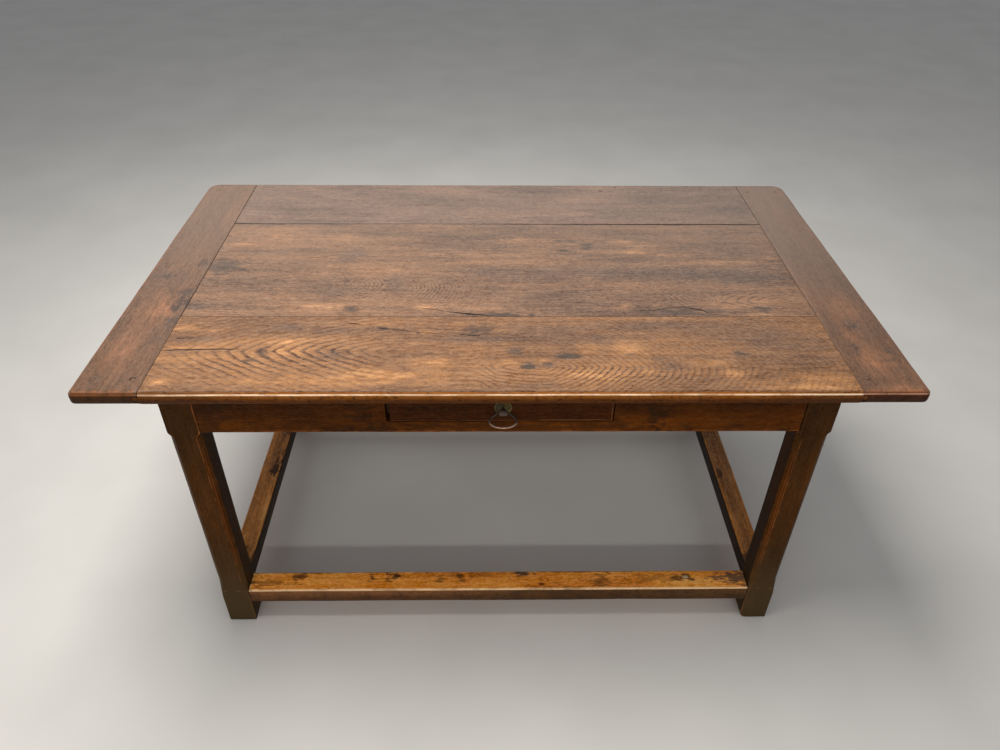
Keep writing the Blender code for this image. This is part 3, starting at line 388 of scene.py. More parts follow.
    # Painted shade: the faces that look into the table turn nearly black
    if painted_inner_shade:
        inward = f.step(abs(spot[0]), painted_inner_shade[0] + 0.0012, painted_inner_shade[0] + 0.0004)
        colour = f.blend(inward * painted_inner_shade[1], colour, NEARLY_BLACK)
    here = f.point(*spot)
    ragged = (mottle - 0.5) * 3.2 + (threads - 0.5) * 1.4 + (flecks - 0.5) * 4.2
    for centre, radii, tint, share in stains:
        away = f.vector("DIVIDE", f.vector("SUBTRACT", here, tuple(centre)), tuple(radii))
        away = f.vector("LENGTH", away, output=1)
        colour = f.blend(f.step(away + ragged, 1.35, 0.45) * share, colour, tint)
    for low_corner, high_corner, tint, share in marks:
        inside = share
        for axis in range(3):
            soft = (high_corner[axis] - low_corner[axis]) * 0.2
            inside = inside * f.step(spot[axis], low_corner[axis], low_corner[axis] + soft) \
                * f.step(spot[axis], high_corner[axis], high_corner[axis] - soft)
        colour = f.blend(inside, colour, tint)
    rough = dull + (threads - 0.5) * 0.2 + (broad - 0.5) * 0.12 - rubbed * 0.06 + dirt * 0.2 \
        + broken * 0.08
    relief = dashes * 0.5 + threads * 0.6 - broken * drawn * 0.7 - speck * 0.9 - pore * 0.5
    if seams:
        gap = seam_lines(f, spot, seams, streaks)
        colour = f.blend(gap, colour, JOINT_DIRT)
        rough = rough + gap * 0.3
        relief = relief - gap * 1.2
    fine = f.bump(relief, 0.0004, 0.9)
    swell = f.bump(uneven(14, 24, 2, 0.55), 0.0022, 0.45, fine)
    return f.close(Base_Color=colour, Roughness=rough, Normal=swell, IOR=1.48,
                   Specular_IOR_Level=shine, Coat_Weight=coat, Coat_Roughness=0.2, Coat_IOR=1.45)


def split_dirt_and_shade():
    """The raw inside of a crack, painted dark for its dirt and for the shade in it."""
    f = Finish("split_dirt_and_shade")
    fibres = f.clouds(f.places(), (12, 260, 260), 3, 0.6)
    colour = f.ramp(fibres, [(0.3, 20, 14, 11), (0.75, 54, 36, 26)])
    return f.close(Base_Color=colour, Roughness=0.85, Normal=f.bump(fibres, 0.0006))


def aged_brass():
    """Dull olive brass with dark lacquer left in its hollows, and painted shade over its left half.
    """
    f = Finish("aged_brass")
    spot = f.places()
    patches = f.clouds(spot, (190, 190, 190), 3, 0.6)
    grit = f.clouds(spot, (900, 900, 900), 2, 0.6)
    # Painted shade: the rose darkens over its left half, as the light falls from the right
    painted_left_shade = f.step(spot[0], PULL_X + 0.003, PULL_X - 0.006) * 0.35
    tarnish_and_shade = f.step(patches + grit * 0.25 + painted_left_shade, 0.45, 0.78)
    colour = f.blend(tarnish_and_shade, (116, 102, 40), (50, 42, 22))
    colour = f.blend(f.wear("rub") * 0.35, colour, (150, 128, 74))
    return f.close(Base_Color=colour, Metallic=0.85 - tarnish_and_shade * 0.35,
                   Roughness=0.36 + tarnish_and_shade * 0.22 + grit * 0.06,
                   Normal=f.bump(grit + patches, 0.0002, 0.6))


def worn_iron():
    """Forged iron, nearly black, rubbed pinkish grey where fingers take it, with a painted
    highlight there, sooty above.
    """
    f = Finish("worn_iron")
    spot = f.places()
    patches = f.clouds(spot, (160, 160, 160), 3, 0.6)
    grit = f.clouds(spot, (1200, 1200, 1200), 2, 0.65)
    # Rubbing and a painted highlight: the ring's lower curve and the knuckle's edges turn pinkish
    # grey
    polish_and_highlight = f.step(spot[2], *RING_BRIGHT) * f.step(patches, 0.25, 0.6, 0.55, 1)
    polish_and_highlight = f.maths("MAXIMUM", polish_and_highlight, f.wear("rub") * 0.12)
    colour = f.blend(f.step(patches, 0.42, 0.66), (48, 38, 33), (78, 58, 46))
    colour = f.blend(polish_and_highlight, colour, (204, 172, 152))
    sooty = f.step(spot[2], *KNUCKLE_SOOTY)
    return f.close(Base_Color=colour, Metallic=0.75 + polish_and_highlight * 0.2 - sooty * 0.4,
                   Roughness=0.46 - polish_and_highlight * 0.12 + grit * 0.1 + sooty * 0.16,
                   Normal=f.bump(grit + patches * 1.5, 0.0003, 0.7))


# Shapes

def merged_copy(node):
    """A bmesh of a CAD node, its loose triangles joined into closed flat faces."""
    mesh = bmesh.new()
    mesh.from_mesh(frame["nodes"][node].data)
    bmesh.ops.remove_doubles(mesh, verts=mesh.verts, dist=1e-5)
    bmesh.ops.dissolve_limit(mesh, angle_limit=radians(0.5), use_dissolve_boundaries=False,
                             verts=mesh.verts, edges=mesh.edges)
    for face in mesh.faces:
        face.material_index = 0
    return mesh


def bevel(mesh, edges, ease, clamp=False):
    """Rounds these edges, each with two narrow faces."""
    bmesh.ops.bevel(mesh, geom=edges, offset=ease, offset_type="OFFSET", segments=2,
                    profile=0.5, affect="EDGES", clamp_overlap=clamp, material=-1)


def ease_edges(mesh, ease, shortest, keep=None):
    """Rounds the sharp convex edges a little, as years of cloths and hands do."""
    chosen = [edge for edge in mesh.edges
              if len(edge.link_faces) == 2 and edge.calc_face_angle_signed() > radians(35)
              and edge.calc_length() > shortest and (keep is None or keep(edge))]
    bevel(mesh, chosen, ease)


def slice_up(mesh, cell, axes=(0, 1, 2)):
    """Cuts the faces into cells about this long, so that wear can bend them."""
    for axis in axes:
        ends = [vertex.co[axis] for vertex in mesh.verts]
        low, high = min(ends), max(ends)
        normal = Vector([float(axis == other) for other in range(3)])
        count = int((high - low) / cell[axis])
        for number in range(1, count):
            place = low + (high - low) * number / count
            bmesh.ops.bisect_plane(mesh, geom=mesh.verts[:] + mesh.edges[:] + mesh.faces[:],
                                   dist=2e-5, plane_co=normal * place, plane_no=normal)


def split_cutter(path, width, depth, outward=Vector((0, 0, 1))):
    """A V-section blade along a path on a face, closing to nothing at both ends."""
    blade = bmesh.new()
    shares = end_shares(len(path))
    roots = [blade.verts.new(point - outward * depth * share)
             for point, share in zip(path, shares)]
    keel = [blade.edges.new(pair) for pair in zip(roots, roots[1:])]
    shoulders = []
    for hand in (1, -1):
        made = bmesh.ops.extrude_edge_only(blade, edges=keel)
        risen = [item for item in made["geom"] if isinstance(item, bmesh.types.BMVert)]
        for vertex in risen:
            index = min(range(len(path)), key=lambda i: (roots[i].co - vertex.co).length)
            before, after = path[max(index - 1, 0)], path[min(index + 1, len(path) - 1)]
            side = (after - before).cross(outward).normalized()
            ragged = 0.65 + 0.7 * abs(noise.noise(path[index] * 60))
            vertex.co = (path[index] + outward * depth * 0.5
                         + side * hand * (0.00012 + width * 0.75 * shares[index] * ragged))
        shoulders += [item for item in made["geom"] if isinstance(item, bmesh.types.BMEdge)]
    bmesh.ops.bridge_loops(blade, edges=shoulders)
    rims = [edge for edge in blade.edges if edge.is_boundary]
    bmesh.ops.holes_fill(blade, edges=rims, sides=6)
    bmesh.ops.recalc_face_normals(blade, faces=blade.faces)
    return blade


def end_shares(count):
    """How open a split is at each of its points: almost closed at its ends."""
    return [max(0.1, sin(pi * (0.04 + 0.92 * i / (count - 1))) ** 0.6)
            for i in range(count)]


def finer_path(points, outward=Vector((0, 0, 1)), stray=0.0012):
    """The given points of a split, with smaller jogs between them, about 9 mm apart."""
    fine = []
    for start, end in zip(points, points[1:]):
        start, end = Vector(start), Vector(end)
        count = max(1, int((end - start).length / 0.009))
        side = outward.cross(end - start).normalized()
        for number in range(count):
            place = start.lerp(end, number / count)
            fine.append(place + side * stray * noise.noise(place * 85))
    fine.append(Vector(points[-1]))
    return fine


def placed(name, data):
    """A new object in the scene."""
    made = bpy.data.objects.new(name, data)
    bpy.context.scene.collection.objects.link(made)
    return made


def two_slotted(mesh, name):
    """Turns a bmesh into an object with two empty material slots."""
    data = bpy.data.meshes.new(name)
    mesh.to_mesh(data)
    mesh.free()
    for _ in range(2):
        data.materials.append(None)
    return placed(name, data)


def cut_splits(mesh, name, blades):
    """Takes the blades out of a mesh. The walls that they leave get the second material."""
    body = two_slotted(mesh, name + "_whole")
    cutters = []
    for blade in blades:
        for face in blade.faces:
            face.material_index = 1
        cutters.append(two_slotted(blade, "blade"))
        change = body.modifiers.new("split", "BOOLEAN")
        change.operation, change.solver, change.object = "DIFFERENCE", "EXACT", cutters[-1]
    bpy.context.view_layer.update()
    made = bpy.data.meshes.new_from_object(
        body.evaluated_get(bpy.context.evaluated_depsgraph_get()))
    result = bmesh.new()
    result.from_mesh(made)
    for scrap in [body, *cutters]:
        data = scrap.data
        bpy.data.objects.remove(scrap)
        bpy.data.meshes.remove(data)
    bpy.data.meshes.remove(made)
    return result


def mark_wear(mesh, exposed=None):
    """Notes how exposed each vertex is: 1 on rounded arrises, and dirt in the inner corners."""
    rub, dirt = mesh.verts.layers.float.new("rub"), mesh.verts.layers.float.new("dirt")
    for vertex in mesh.verts:
        if exposed is not None and not exposed(vertex):
            continue
        sharpest = deepest = 0.0
        for edge in vertex.link_edges:
            if len(edge.link_faces) == 2:
                turn = edge.calc_face_angle_signed()
                sharpest, deepest = max(sharpest, turn), min(deepest, turn)
        vertex[rub] = min(1.0, sharpest / radians(20))
        vertex[dirt] = min(1.0, -deepest / radians(45))


PATCH_HALF_HEIGHT = 0.08  # far enough down that a patch covers the edges as well


def mark_patches(mesh, name, rows):
    """Writes soft patches to the vertices as a named number. Each is (pixel x, pixel y, half length
    and half width in mm, strength in tenths) on the top."""
    patches = [(on_top(x, y), (long / 1000, wide / 1000, PATCH_HALF_HEIGHT), strength / 10)
               for x, y, long, wide, strength in rows]
    layer = mesh.verts.layers.float.new(name)
    ends = [vertex.co.y for vertex in mesh.verts]
    near = [patch for patch in patches
            if min(ends) - 2.5 * patch[1][1] < patch[0][1] < max(ends) + 2.5 * patch[1][1]]
    for vertex in mesh.verts:
        total = 0.0
        for centre, radii, strength in near:
            away = sum(((vertex.co[axis] - centre[axis]) / radii[axis]) ** 2 for axis in range(3))
            if away < 6:
                total += strength * exp(-away)
        vertex[layer] = total


def weather(mesh, node, depth, size, seed):
    """Lowers the faces unevenly by up to depth, never outside the node's own box."""
    mesh.normal_update()
    lows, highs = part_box(node)
    moved = []
    for vertex in mesh.verts:
        place = Vector([vertex.co[axis] / size[axis] for axis in range(3)])
        swell = 0.5 + 0.5 * noise.noise(place + Vector((seed, 3.7, 1.3)))
        in_split = any(face.material_index for face in vertex.link_faces)
        outward = Vector((0, 0, 1)) if in_split else vertex.normal
        moved.append(vertex.co - outward * depth * max(0.0, min(1.0, swell)))
    for vertex, place in zip(mesh.verts, moved):
        vertex.co = [min(max(place[axis], lows[axis]), highs[axis]) for axis in range(3)]


def finished(mesh, name, node, slot, *materials):
    """Makes the mesh a piece that rides with its node's body and stands for that node."""
    data = bpy.data.meshes.new(name)
    mesh.normal_update()
    mesh.to_mesh(data)
    mesh.free()
    # Normals left from the CAD node would hide the new edges
    if "custom_normal" in data.attributes:
        data.attributes.remove(data.attributes["custom_normal"])
    for polygon in data.polygons:
        polygon.use_smooth = True
    data.set_sharp_from_angle(angle=radians(38))
    for material in materials:
        data.materials.append(material)
    made = placed(name, data)
    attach(made, frame["nodes"][node]["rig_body"])
    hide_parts(node)
    return made


# The top

def stains_at(rows, tint=None, height=TOP_HEIGHT, deep=0.02):
    """Stains given as (pixel x, pixel y, half length and half width in mm, share in tenths), with
    a colour in front of the share where each has its own."""
    return [(on_top(x, y, height), (long / 1000, wide / 1000, deep), *(own or [tint]), share / 10)
            for x, y, long, wide, *own, share in rows]


# Patches of worn orange wood, of grey patina and of clear growth rings
BOARD_PATCHES = {
    "glow": (
        (283, 236, 60, 20, 5), (343, 238, 50, 16, 5), (242, 244, 35, 10, 5), (325, 306, 50, 8, 9),
        (184, 329, 30, 10, 7), (214, 331, 25, 6, 6), (190, 347, 55, 5, 11), (290, 341, 30, 6, 8),
        (285, 350, 35, 18, 6), (159, 382, 20, 8, 12), (305, 379, 140, 26, 5.5),
        (364, 375, 60, 26, 6), (430, 361, 45, 12, 7), (421, 375, 85, 30, 6.5), (505, 331, 20, 6, 6),
        (513, 361, 22, 6, 7), (543, 360, 15, 5, 6), (424, 307, 18, 4, 16), (493, 308, 90, 6, 6),
        (613, 309, 40, 6, 8), (429, 332, 40, 4, 7), (474, 255, 120, 7, 6), (474, 262, 30, 5, 7),
        (518, 239, 45, 10, 6), (579, 214, 30, 8, 9), (573, 201, 25, 10, 4), (624, 242, 40, 8, 8),
        (631, 252, 30, 10, 6), (577, 258, 30, 8, 5), (587, 347, 20, 20, 6), (628, 348, 25, 22, 7),
        (640, 246, 50, 10, 8), (636, 253, 30, 6, 7), (671, 255, 60, 7, 7), (712, 262, 110, 7, 6),
        (769, 258, 20, 6, 4), (626, 306, 20, 6, 10), (660, 305, 12, 4, 10), (704, 312, 14, 5, 9),
        (730, 307, 30, 6, 5), (773, 315, 50, 4, 7), (708, 363, 40, 10, 7), (649, 373, 12, 10, 6),
        (735, 373, 20, 14, 7), (818, 378, 60, 14, 6), (806, 387, 60, 8, 8), (600, 378, 60, 16, 4),
        (360, 225, 60, 12, 3)),
    "patina": (
        (225, 266, 30, 28, 11), (328, 225, 35, 20, 6), (352, 256, 26, 36, 6), (268, 252, 60, 10, 5),
        (198, 306, 20, 12, 9), (352, 309, 10, 7, 14), (328, 294, 60, 12, 5), (194, 339, 45, 6, 9),
        (290, 327, 50, 10, 9), (337, 329, 40, 12, 7), (251, 292, 60, 16, 4), (335, 354, 30, 14, 7),
        (264, 352, 12, 10, 7), (248, 361, 12, 6, 9), (175, 354, 30, 8, 5), (384, 329, 50, 12, 7),
        (474, 331, 26, 12, 7), (474, 339, 90, 8, 9), (522, 273, 120, 30, 5), (485, 271, 40, 20, 4),
        (608, 270, 100, 22, 6), (396, 283, 18, 30, 6), (566, 241, 25, 6, 10),
        (587, 246, 12, 10, 12), (563, 251, 14, 6, 12), (483, 238, 40, 6, 6), (499, 247, 10, 10, 7),
        (452, 254, 10, 6, 10), (363, 254, 10, 6, 9), (516, 351, 10, 10, 10), (529, 366, 14, 6, 19),
        (548, 365, 12, 4, 15), (568, 356, 18, 7, 19), (550, 329, 110, 30, 5), (630, 355, 10, 6, 8),
        (426, 200, 60, 30, 6), (512, 206, 80, 45, 5), (560, 195, 30, 10, 5), (631, 195, 30, 20, 7),
        (530, 387, 45, 10, 5), (646, 199, 30, 20, 8), (667, 219, 50, 12, 5), (722, 211, 110, 35, 5),
        (690, 273, 170, 24, 9), (750, 280, 80, 35, 7), (763, 309, 12, 7, 11), (669, 313, 50, 6, 8),
        (671, 325, 130, 18, 6), (742, 354, 12, 8, 11), (671, 364, 22, 12, 7),
        (773, 339, 110, 45, 5), (657, 358, 15, 8, 6), (814, 354, 60, 45, 5),
        (600, 340, 120, 20, 4)),
    "figured": (
        (295, 353, 100, 50, 10), (350, 362, 60, 40, 7), (235, 364, 70, 35, 7),
        (595, 375, 75, 34, 10), (660, 377, 75, 28, 8), (740, 378, 60, 22, 3.5),
        (500, 377, 60, 30, 6), (340, 281, 30, 30, 7), (371, 286, 34, 40, 11),
        (432, 288, 50, 50, 10), (672, 298, 35, 22, 10), (737, 301, 65, 22, 10))}
CLEAT_PATCHES = {
    "glow": (
        (167, 308, 30, 50, 10), (120, 350, 30, 60, 6), (190, 330, 20, 50, 4),
        (845, 308, 40, 50, 5.5), (873, 362, 35, 40, 8), (230, 215, 30, 60, 3),
        (901, 388, 40, 10, 8), (850, 340, 20, 30, 4)),
    "patina": (
        (183, 306, 16, 22, 13), (187, 293, 12, 12, 12), (165, 276, 22, 12, 9),
        (170, 322, 14, 20, 9), (204, 264, 12, 12, 10), (156, 339, 12, 12, 8), (133, 379, 6, 6, 12),
        (795, 250, 40, 80, 2), (851, 325, 10, 12, 16), (891, 351, 8, 8, 13), (855, 348, 10, 20, 8),
        (779, 200, 50, 60, 4), (92, 380, 10, 10, 7))}
# Nail and worm holes: (pixel x, pixel y, radius in mm)
PINHOLE_PIXELS = ((588, 187, 2.2), (600, 191, 3.0), (615, 187, 2.0), (688, 194, 2.2),
                  (693, 241, 2.0), (418, 333, 3.0))

# Splits in the boards: the points of each, its width and its depth
SPLITS = {
    "top_board_front": (
        (((-0.633, -0.277), (-0.6036, -0.2751), (-0.5758, -0.2731)), 0.0012, 0.004),
        (((-0.6345, -0.3148), (-0.56, -0.3118), (-0.4914, -0.31)), 0.0028, 0.007),
        (((-0.3074, -0.2211), (-0.2731, -0.2282)), 0.0034, 0.006),
        (((-0.2402, -0.24), (-0.219, -0.2432)), 0.0044, 0.007),
        (((-0.219, -0.2432), (-0.166, -0.2535)), 0.002, 0.005),
        (((-0.167, -0.2535), (-0.156, -0.2552)), 0.004, 0.006),
        (((-0.156, -0.2552), (-0.104, -0.2612)), 0.002, 0.005),
        (((-0.0838, -0.2631), (-0.0413, -0.2672)), 0.0024, 0.005)),
    "top_board_middle": (
        (((-0.4309, 0.043), (-0.4066, 0.0445), (-0.3806, 0.0492)), 0.0016, 0.004),
        (((-0.174, -0.1643), (-0.1329, -0.1737), (-0.106, -0.1812)), 0.0018, 0.005),
        (((-0.11, -0.18), (-0.078, -0.1874), (-0.017, -0.1965)), 0.0048, 0.008),
        (((0.244, -0.1784), (0.3078, -0.1769), (0.345, -0.165)), 0.0018, 0.005),
        (((0.342, -0.1655), (0.3731, -0.163), (0.4081, -0.1746), (0.4213, -0.189),
          (0.44, -0.197)), 0.0034, 0.008)),
}


def board_seams(side):
    """The joints round a board, with the dirt that sits in them."""
    lines = [(0, -SEAM_X, 0.0014, 0.8, 0.6), (0, SEAM_X, 0.0013, 0.34, 0.85)]
    if side != "back":
        lines.append((1, FRONT_SEAM_Y, 0.0019, 0.58, 0.85))
    if side != "front":
        lines.append((1, BACK_SEAM_Y, 0.0028, 0.95, 0.2))
    return lines


def build_top():
    """Boards and cleats with their splits, their worn outline and old finish."""
    front_tones = ((0, 36, 27, 22), (0.28, 78, 57, 43), (0.5, 114, 83, 60),
                   (0.74, 151, 108, 71), (1, 192, 142, 95))
    middle_tones = ((0, 37, 29, 25), (0.28, 76, 60, 50), (0.5, 107, 83, 67),
                    (0.74, 139, 104, 78), (1, 176, 132, 94))
    back_tones = ((0, 44, 35, 31), (0.28, 80, 64, 56), (0.55, 112, 90, 78),
                  (0.8, 136, 106, 87), (1, 164, 126, 98))
    cleat_tones = ((0, 34, 26, 21), (0.3, 70, 54, 44), (0.55, 98, 74, 58),
                   (0.78, 122, 87, 65), (1, 150, 104, 75))
    rim = ((172, 104, 34), 0.22)
    # Painted sheen: the boards and cleats pale towards the back, where the reflection lies
    painted_sheen = (-0.15, 0.4, (122, 106, 94), 0.3)
    # gleam: the colour of the painted highlight on a front edge's rubbed line
    board_front = dict(reach=(EDGE_BEGINS, EDGE_FULL), wood=(150, 86, 18), under=(90, 45, 2),
                       turn=(0.733, 0.7435, 0.008), ends=(0.42, 0.58, (58, 30, 12), 0.5, True),
                       cover=0.96, thin=0.86, speck=(44, 22, 6), line=(0.7444, 0.747),
                       gleam=(255, 222, 184), rubbed=0.88, polish=1.0)
    left_front = dict(board_front, wood=(58, 40, 22), under=(44, 33, 18),
                      gleam=(150, 92, 46), rubbed=0.5, polish=0.4)
    right_front = dict(left_front, wood=(66, 34, 20), under=(44, 25, 15), gleam=(206, 150, 118),
                       rubbed=0.6, polish=0.7)
    front_swirls = (
        (0, 392, 352, 2.3, 9, 1.25, 0.012, 0), (-0.03, 545, 367, 5, 1.35, 1.4, 0.0095, 0.4))
    middle_swirls = (
        (0, 325, 279, 6, 1, 1.7, 0.0085, 0), (-0.318, 355, 285, 6, 1, 1.7, 0.0085, 0.5),
        (-0.225, 402, 288, 6, 0.95, 1.7, 0.0085, 0.2), (-0.04, 520, 252, 12, 12, 2, 0.011, 0),
        (0.32, 700, 297, 1.5, 5, 1.5, 0.0085, 0), (0.44, 790, 301, 2.5, 7, 1.4, 0.009, 0))
    knots = stains_at((
        (529, 366, 16, 9, 7.5), (548, 364, 16, 5, 5), (569, 356, 20, 7, 6.5), (516, 351, 10, 12, 3),
        (742, 354, 11, 8, 5), (482, 330, 22, 16, 3.5), (418, 333, 6, 4, 8), (246, 361, 8, 5, 5),
        (262, 351, 12, 8, 3.5)), (60, 51, 44))
    pinholes = stains_at([(x, y, radius * 1.8, radius * 1.2, 8) for x, y, radius in PINHOLE_PIXELS],
                         (44, 32, 26))
    shadows = stains_at((
        (492, 315, 50, 10, 5.5), (352, 309, 14, 16, 4.5), (566, 241, 30, 8, 4),
        (587, 246, 13, 18, 4.5), (563, 251, 14, 6, 6), (763, 309, 12, 10, 5),
        (686, 311, 50, 14, 4.5), (225, 266, 44, 36, 3.5), (506, 315, 45, 6, 5.5),
        (214, 274, 20, 4, 6)), (62, 54, 49))
    left_spots = stains_at((
        (180, 304, 14, 24, 6), (185, 292, 10, 14, 4.5), (204, 263, 10, 12, 3.5),
        (167, 276, 18, 8, 4), (172, 321, 12, 22, 3.5), (174, 291, 12, 8, 3)), (58, 49, 44))
    right_spots = stains_at((
        (850.6, 326, 10, 10, 5), (856, 349, 7, 16, 3.5), (889, 352, 6, 7, 4.5),
        (891, 360, 10, 5, 3.5)), (58, 49, 44))
    board = dict(level=0.545, painted_sheen=painted_sheen, waxed=0.42, shine=0.07)
    cleat = dict(ring=0.012, figure=0.18, cloudiness=0.42, waxed=0.42, shine=0.07)
    finishes = {
        "top_board_front": oak(
            "oak_front_board", "X", front_tones, front_swirls, figure=0.8, fibre=1.3,
            stray=(0.45, 1.6), choppy=0.45, rim=rim, seams=board_seams("front"),
            front=board_front, stains=knots, **board),
        "top_board_middle": oak(
            "oak_middle_board", "X", middle_tones, middle_swirls, figure=0.55, fibre=1.15,
            cloudiness=0.56, shift=0.37, stray=(0.7, 0.7), choppy=0.7,
            seams=board_seams("middle"), stains=shadows + pinholes, **board),
        "top_board_back": oak(
            "oak_back_board", "X", back_tones, ring=0.011, figure=0.24, fibre=1.3,
            cloudiness=0.7, shift=0.81, rim=rim, seams=board_seams("back"), stains=pinholes,
            **dict(board, level=0.53)),
        "cleat_left": oak(
            "oak_left_cleat", "Y", cleat_tones, fibre=0.7, shift=1.3, rim=((150, 84, 46), 0.3),
            seams=((0, -SEAM_X, 0.0014, 0.9, 0.45),), level=0.55, front=left_front,
            painted_sheen=(-0.25, 0.3, (127, 110, 97), 0.34), stains=left_spots, **cleat),
        "cleat_right": oak(
            "oak_right_cleat", "Y", cleat_tones, fibre=0.6, shift=2.1, rim=((140, 80, 50), 0.3),
            seams=((0, SEAM_X, 0.0013, 0.34, 0.85),), level=0.57, front=right_front,
            painted_sheen=(-0.36, 0.16, (128, 113, 102), 0.38), stains=right_spots, **cleat)}
    split = split_dirt_and_shade()
    for node, finish in finishes.items():
        mesh = merged_copy(node)
        ease_edges(mesh, 0.001, 0.004, lambda edge: not by_tight_seam(edge))
        ease_edges(mesh, 0.0006, 0.004, by_tight_seam)
        blades = [split_cutter(finer_path([(x, y, TOP_HEIGHT) for x, y in path]), width, depth)
                  for path, width, depth in SPLITS.get(node, ())]
        if blades:
            mesh = cut_splits(mesh, node, blades)
        slice_up(mesh, (0.008, 0.008, 1.0), (0, 1))
        mark_wear(mesh, by_outline)
        on_cleat = node.startswith("cleat")
        for kind, rows in (CLEAT_PATCHES if on_cleat else BOARD_PATCHES).items():
            mark_patches(mesh, kind, rows)
        wear_outline(mesh)
        open_seams(mesh)
        weather(mesh, node, 0.0007, (0.11, 0.05, 0.05), len(node))
        finished(mesh, node + "_worn", node, "cleat_oak" if on_cleat else "top_oak", finish, split)
    for node in sorted(frame["nodes"]):
        if node.startswith("cleat_peg"):
            # One peg has sunk and shows clearly
            clear = node == "cleat_peg_left_front_inner"
            mesh = merged_copy(node)
            if clear:
                for vertex in mesh.verts:
                    if vertex.co.z > TOP_HEIGHT - 0.004:
                        vertex.co.z -= 0.001
            ends = [edge for edge in mesh.edges
                    if edge.calc_face_angle(0.0) > radians(60)]
            bevel(mesh, ends, 0.0009 if clear else 0.0003, clamp=True)
            side = "cleat_left" if "left" in node else "cleat_right"
            finished(mesh, node + "_worn", node, "peg_oak", finishes[side])


def by_tight_seam(edge):
    """Whether an edge lies in the front joint or the right one, which hardly show."""
    places = [vertex.co for vertex in edge.verts]
    return all(abs(place.y - FRONT_SEAM_Y) < 0.002 for place in places) \
        or all(abs(place.x - SEAM_X) < 0.002 for place in places)


OUTLINE_REACH = 0.02  # how far in from the top's outline its wear goes


def by_outline(vertex):
    """Whether a vertex of the top lies at the outer edge, away from the joints."""
    return (abs(vertex.co.x) > HALF_LENGTH - OUTLINE_REACH
            or abs(vertex.co.y) > HALF_DEPTH - OUTLINE_REACH) \
        and abs(abs(vertex.co.x) - SEAM_X) > 0.0025


def wear_outline(mesh):
    """Waves the outer outline in by up to 2 mm."""
    for vertex in mesh.verts:
        x, y = vertex.co.x, vertex.co.y
        for axis, half, reach in ((0, HALF_LENGTH, 0.0018), (1, HALF_DEPTH, 0.0011)):
            inside = half - abs(vertex.co[axis])
            if inside < OUTLINE_REACH:
                along = y if axis == 0 else x
                wave = 0.5 + 0.5 * noise.noise(Vector((along * 8, axis * 5 + (x > 0), 0.4)))
                move = reach * wave * (1 - inside / OUTLINE_REACH)
                vertex.co[axis] -= copysign(move, vertex.co[axis])


def open_seams(mesh):
    """The back joint has dried out and gapes, most at its right."""
    for vertex in mesh.verts:
        x, y, z = vertex.co
        if z < TOP_HEIGHT - 0.006:
            continue
        gape = 0.0007 + 0.0009 * max(0.0, min(1.0, (x - 0.1) / 0.3))
        gape *= 0.7 + 0.9 * noise.noise(Vector((x * 14, 1.7, 4.2)))
        away = y - BACK_SEAM_Y
        if abs(away) < 0.003 and gape > 0:
            vertex.co.y += copysign(gape, away)


# The frame

# The lower edges of the aprons and of the drawer front, and the legs' inner and back faces
APRON_LOW_EDGE = 0.602
DRAWER_LOW_EDGE = 0.6262, 0.6334
DRAWER_LIP_Y = -0.3757
LEG_INNER_X, LEG_CHAMFER_Y, CHAMFER_TOP = 0.5925, 0.3655, 0.6
CHAMFER_GLOW = 0.13  # its strength, where the orange patches of the top have 0.3 to 1.6


def low_arris(vertex):
    """Whether a vertex of an apron or of the drawer front lies along its lower edge."""
    on_drawer = DRAWER_LOW_EDGE[0] < vertex.co.z < DRAWER_LOW_EDGE[1]
    return vertex.co.z < APRON_LOW_EDGE or on_drawer and vertex.co.y < DRAWER_LIP_Y


def by_chamfer(vertex):
    """Whether a vertex of a leg lies where the light lines are: by a chamfer's edges, and along the
    left front leg's joint with the apron."""
    # Above the chamfers only the left legs count: the light line along the left front leg's joint
    # with the apron is a painted highlight
    x, y, z = vertex.co
    return abs(x) < LEG_INNER_X and abs(y) > LEG_CHAMFER_Y and (z < CHAMFER_TOP or x < 0)


def mark_chamfers(mesh):
    """Lets the chamfers glow that face forward and into the table."""
    glow = mesh.verts.layers.float.new("glow")
    for vertex in mesh.verts:
        for face in vertex.link_faces:
            x, y, z = face.normal
            if min(abs(x), abs(y)) > 0.55 and y < 0 and x * vertex.co.x < 0:
                vertex[glow] = CHAMFER_GLOW


# How a frame piece that runs along X is worn: the cells it is cut into, how deep and how long
# its hollows are, its material slot, and which of its vertices are rubbed
FRAME_WEAR = {
    "leg": ((0.011, 0.011, 0.01), 0.0007, (0.04, 0.04, 0.13), "frame_oak", by_chamfer),
    "apron": ((0.01, 0.01, 0.01), 0.0008, (0.13, 0.03, 0.03), "frame_oak", low_arris),
    "stretcher": ((0.009, 0.0055, 0.009), 0.0016, (0.16, 0.014, 0.016), "stretcher_oak", None)}


